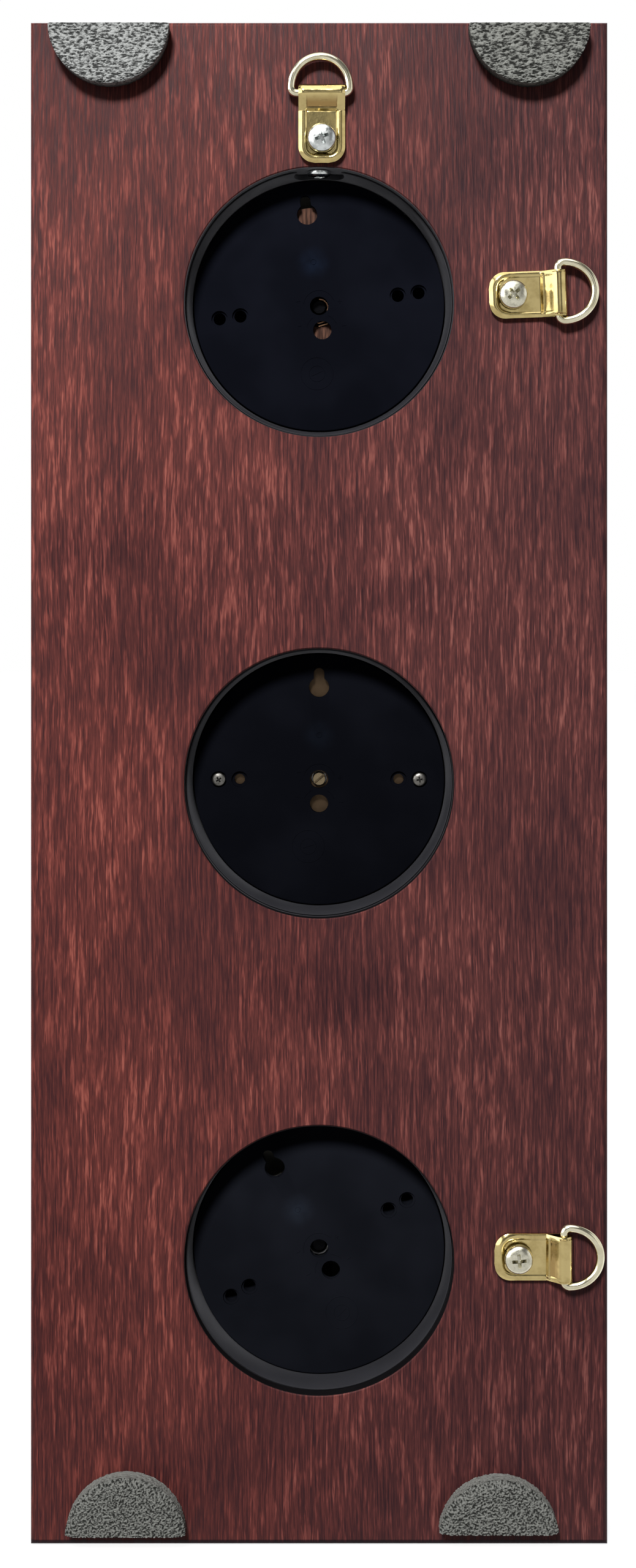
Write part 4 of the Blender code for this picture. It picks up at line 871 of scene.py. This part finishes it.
def ring(name):
    corner = RING_HALF - RING_CORNER
    points = arc((corner, RING_CORNER), RING_CORNER, -90, 0, 8)
    for step in range(1, 40):
        angle = pi * step / 40
        up = RING_CORNER + (RING_REACH - RING_CORNER) * sin(angle)
        points.append((RING_HALF * cos(angle), up))
    points += arc((-corner, RING_CORNER), RING_CORNER, 180, 270, 8)
    points += [(-corner + 2 * corner * step / 12, 0) for step in range(1, 12)]
    piece = tube(name + "_loop_wire", [(a + RING_SLIP, 0, b) for a, b in points], RING_WIRE, True, 6)
    settle(piece, "ring", name + "_loop", hanger_matrix(name), name + "_hanger_ring")


# Head radius and height, shank radius and length of the screws
HANGER_SCREW = (0.0032, 0.0021, 0.0015, 0.012)
WALL_SCREW = (SCREW_HEAD, 0.0012, 0.0012, 0.003)
CASE_SCREW = (0.00155, 0.0010, 0.0011, 0.003)


def cross_cutter(name, length, width, depth, turn):
    """Two tapered bars for a screw's recess, which go in from depth zero."""
    ends = ((-OVERRUN / 4, length / 2 * 1.05, width / 2), (depth, length / 2 * 0.40, width / 4))
    levels = [(level, rectangle(reach, half)) for level, reach, half in ends]
    return [moved(loft(name + "_cutter", levels), turned(turn + extra)) for extra in (0, 90)]


def screw(name, head_radius, head_height, radius, length, turn):
    """Round-head screw with a cross recess; the head rests at depth zero and the shank runs deeper."""
    profile = [(0, -head_height)]
    for side, top in quarter(10)[1:]:
        profile.append((head_radius * side, -head_height * (0.30 + 0.70 * top ** 0.6)))
    profile += [(head_radius, 0), (radius, 0), (radius, length - radius), (0, length)]
    piece = lathe(name, profile, MEDIUM)
    tools = cross_cutter(name, head_radius * 1.20, head_radius * 0.28, head_height * 0.65, turn)
    combine(piece, [moved(tool, move((0, head_height, 0))) for tool in tools])
    # Painted shade in the cross recess, stored for the finish
    recess = piece.data.attributes.new("crease", "FLOAT", "POINT")
    for place, vert in zip(recess.data, piece.data.vertices):
        near = hypot(vert.co.x, vert.co.z) < head_radius * 0.75
        place.value = 1.0 if near and vert.co.y < head_height * 0.62 else 0.0
    return piece


def hanger_screw(name, turn):
    piece = screw(name + "_screw_head", *HANGER_SCREW, turn)
    seat = move((0, STRAP_TOP + CLEARANCE, -SCREW_PLACE))
    finish = "zinc" if name == "top" else "warm_zinc"
    settle(piece, finish, "backboard", hanger_matrix(name) @ seat, name + "_hanger_screw")


# Wells

BAND_BACK = 0.0002
BAND_FRONTS = {"thermometer": 0.0002, "barometer": 0.0016, "hygrometer": 0.0028}
PAINT_PROUD = 0.00008
PAINT_SUNK = 0.00004
NOTCH_HALF_LENGTH = 0.0057
NOTCH_HALF_WIDTH = 0.0034


def screw_seat(depth_of_axis):
    """Stands a piece's depth axis upright in the wall of a well, at the wall screw."""
    return move((0, -SCREW_DEPTH, depth_of_axis)) @ Matrix.Rotation(-pi / 2, 4, "X")


def sleeve(name):
    """Ring round the case, deep in the well, with a sloping mouth; the top one has a notch for a screw."""
    piece = lathe(name + "_lining", [
        (SLEEVE_INNER, SLEEVE_FRONT), (SLEEVE_INNER, SLEEVE_BACK + SLEEVE_SLOPE),
        (SLEEVE_OUTER - 0.0003, SLEEVE_BACK + 0.00012), (SLEEVE_OUTER - 0.0002, SLEEVE_BACK),
        (SLEEVE_OUTER, SLEEVE_BACK), (SLEEVE_OUTER, SLEEVE_FRONT),
    ])
    if name == "thermometer":
        reach = NOTCH_HALF_LENGTH - NOTCH_HALF_WIDTH
        outline = arc((reach, 0), NOTCH_HALF_WIDTH, -90, 90, 24)
        outline += arc((-reach, 0), NOTCH_HALF_WIDTH, 90, 270, 24)
        notch = prism("notch", outline, SLEEVE_INNER - OVERRUN, SLEEVE_OUTER + OVERRUN)
        combine(piece, [moved(notch, screw_seat(0))])
    settle(piece, "sleeve", "backboard", unit_matrix(name), name + "_sleeve")


def stained_wall(name):
    """A black band near the mouth of a well's wall, reaching deeper in the lower wells, then the satin grey
    lining with its painted light, both as thin as paint.
    """
    change = BAND_FRONTS[name]
    # The black band runs from the mouth to a depth set per well; the grey lining beyond has painted light
    parts = (("stain", "well", BAND_BACK, change), ("lining", "sleeve", change, SLEEVE_FRONT))
    for part, finish, back, front in parts:
        if front > back:
            profile = slab(back, front, WELL_RADIUS + PAINT_SUNK, WELL_RADIUS - PAINT_PROUD)
            piece = lathe("%s_well_%s" % (name, part), profile)
            settle(piece, finish, "backboard", unit_matrix(name))


def wall_screw():
    """The screw in the wall of the top well, with its head towards the middle."""
    head = screw("well_wall_screw", *WALL_SCREW, 20)
    seat = unit_matrix("thermometer") @ screw_seat(sqrt(SLEEVE_OUTER ** 2 - SCREW_HEAD ** 2))
    settle(head, "zinc", "backboard", seat, "thermometer_sleeve_screw")


def keyhole():
    lean = degrees(asin(KEYHOLE_NECK / KEYHOLE_RADIUS))
    outline = arc((0, KEYHOLE_PLACE), KEYHOLE_RADIUS, 90 + lean, 450 - lean, 40)
    return outline + arc((0, KEYHOLE_TOP - KEYHOLE_NECK), KEYHOLE_NECK, 0, 180, 14)


def case(name):
    """Moulded cup: keyhole, stepped side holes and two middle holes in its back."""
    piece = lathe(name + "_housing", [
        (HOLE_RADIUS, CASE_BACK), (CASE_RADIUS - 0.0004, CASE_BACK),
        (CASE_RADIUS - 0.0001, CASE_BACK + 0.00012), (CASE_RADIUS, CASE_BACK + 0.0004),
        (CASE_RADIUS, FLANGE_BACK), (FLANGE_RADIUS, FLANGE_BACK), (FLANGE_RADIUS, FLANGE_FRONT),
        (CASE_INNER, FLANGE_FRONT), (CASE_INNER, CASE_FLOOR), (HOLE_RADIUS, CASE_FLOOR),
    ])
    back, front = CASE_BACK - OVERRUN, CASE_FLOOR + OVERRUN
    if name == "barometer":
        bore, end = THROUGH_HOLE_RADIUS, front
    else:
        bore, end = SIDE_HOLE_RADIUS, BOSS_FRONT - BOSS_WALL
        bosses = [rod("boss", BOSS_RADIUS, CASE_FLOOR - 0.0005, BOSS_FRONT, a) for a in SIDE_HOLES]
        combine(piece, bosses, "UNION")
    tools = [rod("lower", HOLE_RADIUS, back, front, 0, -LOWER_HOLE), prism("key", keyhole(), back, front)]
    step = CASE_BACK + COUNTERBORE_DEPTH
    profile = [(0, back), (COUNTERBORE, back), (COUNTERBORE, step), (bore, step), (bore, end), (0, end)]
    tools += [moved(lathe("side", profile, MEDIUM), move((across, 0, 0))) for across in SIDE_HOLES]
    combine(piece, tools)
    fit(piece, name, name + "_case", "case", CASE_TURNS[name])


MOULD_WIRE = 0.00009
MOULD_ARC = 0.0036
INSERT = (0.0025, -0.0153)
TICKS = ((0.0046, 0.0016), (0.0050, -0.0040), (-0.0048, 0.0004), (-0.0050, -0.0052))


def moulded_lines(name):
    """Fine raised lines of the mould on the back of a case: arcs, ticks, a round insert and a gate mark."""
    across, up = INSERT
    outlines = [arc((0, 0), MOULD_ARC, 15, 165, 20)]
    outlines += [arc((0, -LOWER_HOLE), MOULD_ARC, start, start + 40, 8) for start in (20, 120)]
    outlines += [[(a - 0.0005, b), (a + 0.0005, b)] for a, b in TICKS]
    outlines.append([(-0.0048, -0.0001), (-0.0048, 0.0009)])
    outlines += [arc(INSERT, 0.0037, 0, 360, 40), arc(INSERT, 0.0018, 0, 360, 24)]
    outlines.append([(across - 0.0013, up + 0.0004), (across + 0.0013, up - 0.0004)])
    outlines.append(arc((0, 0.0102), 0.0006, 0, 360, 16))
    bm = bmesh.new()
    for outline in outlines:
        line = tube("mould_line", [face_back(a, CASE_BACK, b) for a, b in outline], MOULD_WIRE, False, 2)
        bm.from_mesh(line.data)
        bpy.data.objects.remove(line)
    made = to_object(name + "_mould_lines", bm)
    fit(made, name, name + "_case", None, CASE_TURNS[name])


SLOT_HALF = 0.00027
SLOT_REACH = 0.003
SLOT_DEPTH = 0.0009
ADJUSTER_EASE = 0.00015
ADJUSTER_TURN = 40


def barometer_back():
    """Cross-head case screws and the slotted adjusting screw in its ring."""
    for side, sign, turn in (("left", 1, 35), ("right", -1, 10)):
        piece = screw("barometer_back_screw_" + side, *CASE_SCREW, turn)
        seat = move((sign * SIDE_HOLES[3], -(CASE_BACK + COUNTERBORE_DEPTH - CLEARANCE), 0))
        settle(piece, "dull_zinc", "barometer_unit", unit_matrix("barometer") @ seat,
               "barometer_case_screw_" + side)
    piece = lathe("barometer_slotted_screw", [
        (0, ADJUSTER_BACK), (ADJUSTER_RADIUS - ADJUSTER_EASE, ADJUSTER_BACK),
        (ADJUSTER_RADIUS, ADJUSTER_BACK + ADJUSTER_EASE), (ADJUSTER_RADIUS, ADJUSTER_FRONT),
        (0, ADJUSTER_FRONT),
    ], MEDIUM)
    slot = rectangle(SLOT_REACH, SLOT_HALF)
    combine(piece, [prism("slot", slot, ADJUSTER_BACK - OVERRUN, ADJUSTER_BACK + SLOT_DEPTH)])
    settle(piece, "aged_brass", "pressure_adjuster",
           unit_matrix("barometer", ADJUSTER_TURN), "barometer_adjusting_screw")


# Dial side

def bezel(name):
    profile = [(BEZEL_BORE, FLANGE_BACK), (BEZEL_RADIUS - 0.0003, FLANGE_BACK),
               (BEZEL_RADIUS, FLANGE_BACK + 0.0003), (BEZEL_RADIUS, BEZEL_SHOULDER)]
    for rise, inward in quarter(12)[1:]:
        across = BEZEL_RADIUS - (BEZEL_RADIUS - BEZEL_LIP) * (1 - inward)
        profile.append((across, BEZEL_SHOULDER + (BEZEL_FRONT - BEZEL_SHOULDER) * rise))
    profile += [(0.0306, BEZEL_FRONT - 0.0002), (BEZEL_OPENING + 0.0001, BEZEL_FRONT - 0.0009),
                (BEZEL_OPENING, BEZEL_FRONT - 0.0012), (BEZEL_BORE, BEZEL_FRONT - 0.0012)]
    piece = lathe(name + "_front_ring", profile)
    fit(piece, name, "bezel", "bezel")


def pane(name):
    """The glass, and the ring that keeps it off the dial."""
    piece = lathe(name + "_pane", slab(GLASS_BACK, GLASS_FRONT, GLASS_RADIUS))
    fit(piece, name, "glass", "glass")
    ease = 0.0003
    piece = lathe(name + "_inner_ring", [
        (SPACER_INNER, SPACER_BACK), (SPACER_OUTER, SPACER_BACK), (SPACER_OUTER, SPACER_FRONT),
        (SPACER_INNER + ease, SPACER_FRONT), (SPACER_INNER, SPACER_FRONT - ease),
    ])
    fit(piece, name, "spacer", "spacer_ring")


# Lowest and highest value, degrees of the scale to each side of the top, sign of the unit, and reading
SCALES = {
    "thermometer": (-20, 50, 135, "°C", 20),
    "barometer": (960, 1060, 150, "hPa", 1015),
    "hygrometer": (0, 100, 135, "%", 55),
}
COLOUR_ARCS = {
    "thermometer": ((-20, 0, "blue"), (18, 24, "green"), (35, 50, "red")),
    "barometer": ((960, 985, "red"), (1030, 1060, "blue")),
    "hygrometer": ((0, 30, "red"), (40, 60, "green"), (80, 100, "blue")),
}
# Step in value, inner end and half width of the marks; a value has the first one that it fits
MARKS = ((10, 0.0246, 0.00022), (5, 0.0256, 0.00015), (1, 0.0264, 0.00009))
SCALE_RADIUS = 0.0280
SCALE_LINE = 0.0002
BAND_INNER = 0.0285
BAND_OUTER = 0.0293
NUMBER_RADIUS = 0.0218
NUMBER_SIZE = 0.0030
SIGN_UP = -0.0135
SIGN_SIZE = 0.0038
PRINT_SUNK = 0.00001
PRINT_PROUD = 0.00003
NUMBER_PROUD = 0.00002


def dial_point(radius, angle):
    return (radius * sin(angle), radius * cos(angle))


def scale_angle(name, value):
    lowest, highest, half = SCALES[name][:3]
    return radians(-half + 2 * half * (value - lowest) / (highest - lowest))


def ring_patches(inner, outer, angles):
    """Outlines of the patches of a ring between neighbouring angles."""
    corners = ((inner, 0), (inner, 1), (outer, 1), (outer, 0))
    return [[dial_point(radius, pair[end]) for radius, end in corners] for pair in zip(angles, angles[1:])]


def settle_print(piece, name, finish, stand=Matrix()):
    settle(piece, finish, name + "_unit", unit_matrix(name) @ stand, None, True)


def print_on_dial(name, part, outlines, finish):
    """Each outline becomes a thin raised patch on the dial."""
    bm = bmesh.new()
    for outline in outlines:
        add_solid(bm, [(DIAL_FRONT - PRINT_SUNK, outline), (DIAL_FRONT + PRINT_PROUD, outline)])
    bmesh.ops.recalc_face_normals(bm, faces=bm.faces)
    settle_print(to_object(name + part, bm), name, finish)


def tick(name, value):
    inner, half = next((inner, half) for every, inner, half in MARKS if value % every == 0)
    angle = scale_angle(name, value)
    near, far = Vector(dial_point(inner, angle)), Vector(dial_point(SCALE_RADIUS, angle))
    along = (far - near).normalized()
    side = Vector((along.y, -along.x)) * half
    return [tuple(near - side), tuple(near + side), tuple(far + side), tuple(far - side)]


def letter(name, number, text, place, size):
    curve = bpy.data.curves.new("%s_number_%d" % (name, number), "FONT")
    assign(curve, body=text, size=size, align_x="CENTER", align_y="CENTER", extrude=NUMBER_PROUD)
    stand = move((place[0], -DIAL_FRONT, place[1])) @ Matrix.Rotation(pi / 2, 4, "X")
    settle_print(bake_curve(new_object(curve.name, curve)), name, "ink", stand)


def dial(name):
    piece = lathe(name + "_face", slab(DIAL_BACK, DIAL_FRONT, DIAL_RADIUS, ARBOR_HOLE))
    fit(piece, name, "dial", "dial")
    lowest, highest, half, sign = SCALES[name][:4]
    ticks = [tick(name, value) for value in range(lowest, highest + 1)]
    turns = [radians(-half + 2 * half * step / 90) for step in range(91)]
    ticks += ring_patches(SCALE_RADIUS, SCALE_RADIUS + SCALE_LINE, turns)
    print_on_dial(name, "_ticks", ticks, "ink")
    for number, (start, stop, colour) in enumerate(COLOUR_ARCS[name]):
        turns = [scale_angle(name, start + (stop - start) * step / 16) for step in range(17)]
        print_on_dial(name, "_band_%d" % number, ring_patches(BAND_INNER, BAND_OUTER, turns), colour)
    words = [(str(value), dial_point(NUMBER_RADIUS, scale_angle(name, value)), NUMBER_SIZE)
             for value in range(lowest, highest + 1, 10)]
    words.append((sign, (0, SIGN_UP), SIGN_SIZE))
    for number, (text, place, size) in enumerate(words):
        letter(name, number, text, place, size)


# Right half of the pointer's outline, as (half width, up), from the tail to the tip
POINTER = ((0.00063, -0.008), (0.0009, -0.0035), (0.00072, 0), (0.00081, 0.006), (0.00012, 0.025))
HUB = ((0, 0.0220), (0.0022, 0.0220), (0.0022, 0.0230), (0.0020, 0.0233), (0.0015, 0.02348), (0, 0.0235))


def needle(name):
    tail_half, tail_up = POINTER[0]
    outline = [(-tail_half, tail_up), (0, tail_up), *POINTER]
    outline += [(-half, up) for half, up in reversed(POINTER[1:])]
    piece = prism(name + "_pointer_blade", outline, NEEDLE_BACK, NEEDLE_BACK + NEEDLE_THICKNESS)
    combine(piece, [lathe(name + "_hub", HUB, MEDIUM)], "UNION")
    turn = degrees(scale_angle(name, SCALES[name][4]))
    settle(piece, "needle", name + "_pointer", unit_matrix(name, turn), name + "_needle")


# Finishes of the solids that show as they are; parts seen inside the cases get painted shade
CARRIED_OVER = {
    "blued": ("thermometer_arbor", "hygrometer_arbor", "thermometer_bracket", "hygrometer_bracket"),
    "steel": ("barometer_arbor", "hygrometer_coil", "barometer_capsule", "barometer_rocker",
              "barometer_hairspring"),
    "copper": ("thermometer_coil",),
    "brass": ("barometer_adjuster_bushing", "barometer_sector", "barometer_bridge"),
    "plate": ("barometer_frame_plate",),
    "fibre": ("thermometer_backing_strip",),
}


def carried_over():
    for finish, nodes in CARRIED_OVER.items():
        for node in nodes:
            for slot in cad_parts[node].material_slots:
                slot.material = LOOKS[finish]


# Lamps, floor and camera

# Direction, inner and outer angle and level of each soft panel that metal mirrors
PANELS = (
    ((1.0, 0.50, 0.10), 32, 40, 2.8),
    ((0.1, 0.40, 1.0), 26, 34, 1.9),
    ((-1.0, 0.35, 0.0), 26, 38, 0.95),
    ((-0.16, 0.95, -0.33), 5, 12, 0.60),
    ((-0.17, 0.98, 0.12), 7, 13, 0.70),
)
WHITE = (1, 1, 1)
FLOOR_LEVEL = BOARD_BOTTOM - 0.0005
FLOOR_WHITE = 0.93
CAMERA_HEIGHT = -0.1073
CAMERA_DISTANCE = 0.455
FRAME_HEIGHT = 0.3531
CAMERA_SHIFT = (-0.0007, -0.1559)
SENSOR = 36.0


def rays(near):
    """The kinds of ray, and whether a ray comes from a mirror or through glass."""
    ray = add("LightPath", {}, near)
    return ray, larger(ray["Is Glossy Ray"], ray["Is Transmission Ray"])


def world_light():
    """White behind the object; dim behind the camera, with broad soft panels that the metal mirrors."""
    world = bpy.data.worlds.new("studio")
    bpy.context.scene.world = world
    world.use_nodes = True
    nodes = world.node_tree.nodes
    vector = nodes.new("ShaderNodeTexCoord").outputs["Generated"]
    parts = parts_of(vector)
    white = spread(parts["Y"], -0.25, 0.02, 1.0, 0.0)
    diffuse = larger(spread(parts["Z"], -0.5, 0.5, 0.006, 0.022), times(white, 0.50))
    mirrored = spread(parts["Z"], -0.7, 0.4, 0.50, 0.15)
    for direction, inner, outer, level in PANELS:
        along = compared("DOT_PRODUCT", vector, Vector(direction).normalized())
        mirrored = larger(mirrored, spread(along, cos(radians(outer)), cos(radians(inner)), 0.0, level))
    ray, shiny = rays(vector)
    level = times(shiny, larger(mirrored, white))
    level = plus(level, times(minus(1.0, shiny), diffuse))
    feed(nodes["Background"].inputs["Strength"], larger(level, ray["Is Camera Ray"]))
    feed(nodes["Background"].inputs["Color"], WHITE)


def lamp(name, place, size, power):
    data = assign(bpy.data.lights.new(name, "AREA"), shape="DISK", size=size, energy=power)
    made = new_object(name, data)
    made.location = place
    made.rotation_euler = (Vector((0, BACK_Y, -0.15)) - Vector(place)).to_track_quat("-Z", "Y").to_euler()


def floor():
    """Pale floor that the camera sees nearly white; the object still casts its shadow on it."""
    bm = bmesh.new()
    bmesh.ops.create_grid(bm, x_segments=4, y_segments=4, size=3.0)
    made = welded("studio_floor", bm)
    made.location = (0, 0, FLOOR_LEVEL)
    material, place, shader = start_finish("pale_floor", (0.12, 0.12, 0.12), 0.8, specular=0.05)
    feed(shader["Emission Color"], WHITE)
    ray, shiny = rays(place)
    card = spread(parts_of(place)["Y"], 0.0, 0.04, FLOOR_WHITE, 0.55)
    seen = times(ray["Is Camera Ray"], FLOOR_WHITE)
    feed(shader["Emission Strength"], larger(seen, times(shiny, card)))
    made.data.materials.append(material)


def camera():
    data = bpy.data.cameras.new("view")
    data.sensor_width = SENSOR
    data.lens = SENSOR * CAMERA_DISTANCE / FRAME_HEIGHT
    data.shift_x, data.shift_y = CAMERA_SHIFT
    data.clip_start = 0.01
    made = new_object("view", data)
    made.location = (0, BACK_Y + CAMERA_DISTANCE, CAMERA_HEIGHT)
    made.rotation_euler = (pi / 2, 0, pi)
    bpy.context.scene.camera = made


def build():
    board()
    for name in PADS:
        pad(name)
    for name, turn in (("top", 20), ("upper_side", 38), ("lower_side", 5)):
        strap(name)
        ring(name)
        hanger_screw(name, turn)
    for name in UNITS:
        for make in (sleeve, stained_wall, case, moulded_lines, bezel, pane, dial, needle):
            make(name)
    wall_screw()
    barometer_back()
    carried_over()
    floor()
    world_light()
    lamp("key", (0.33, 1.50, 1.05), 0.42, 53)
    lamp("front", (0.7, -1.6, 1.0), 0.70, 26)
    camera()
    bpy.context.scene.view_settings.view_transform = "Standard"


build()
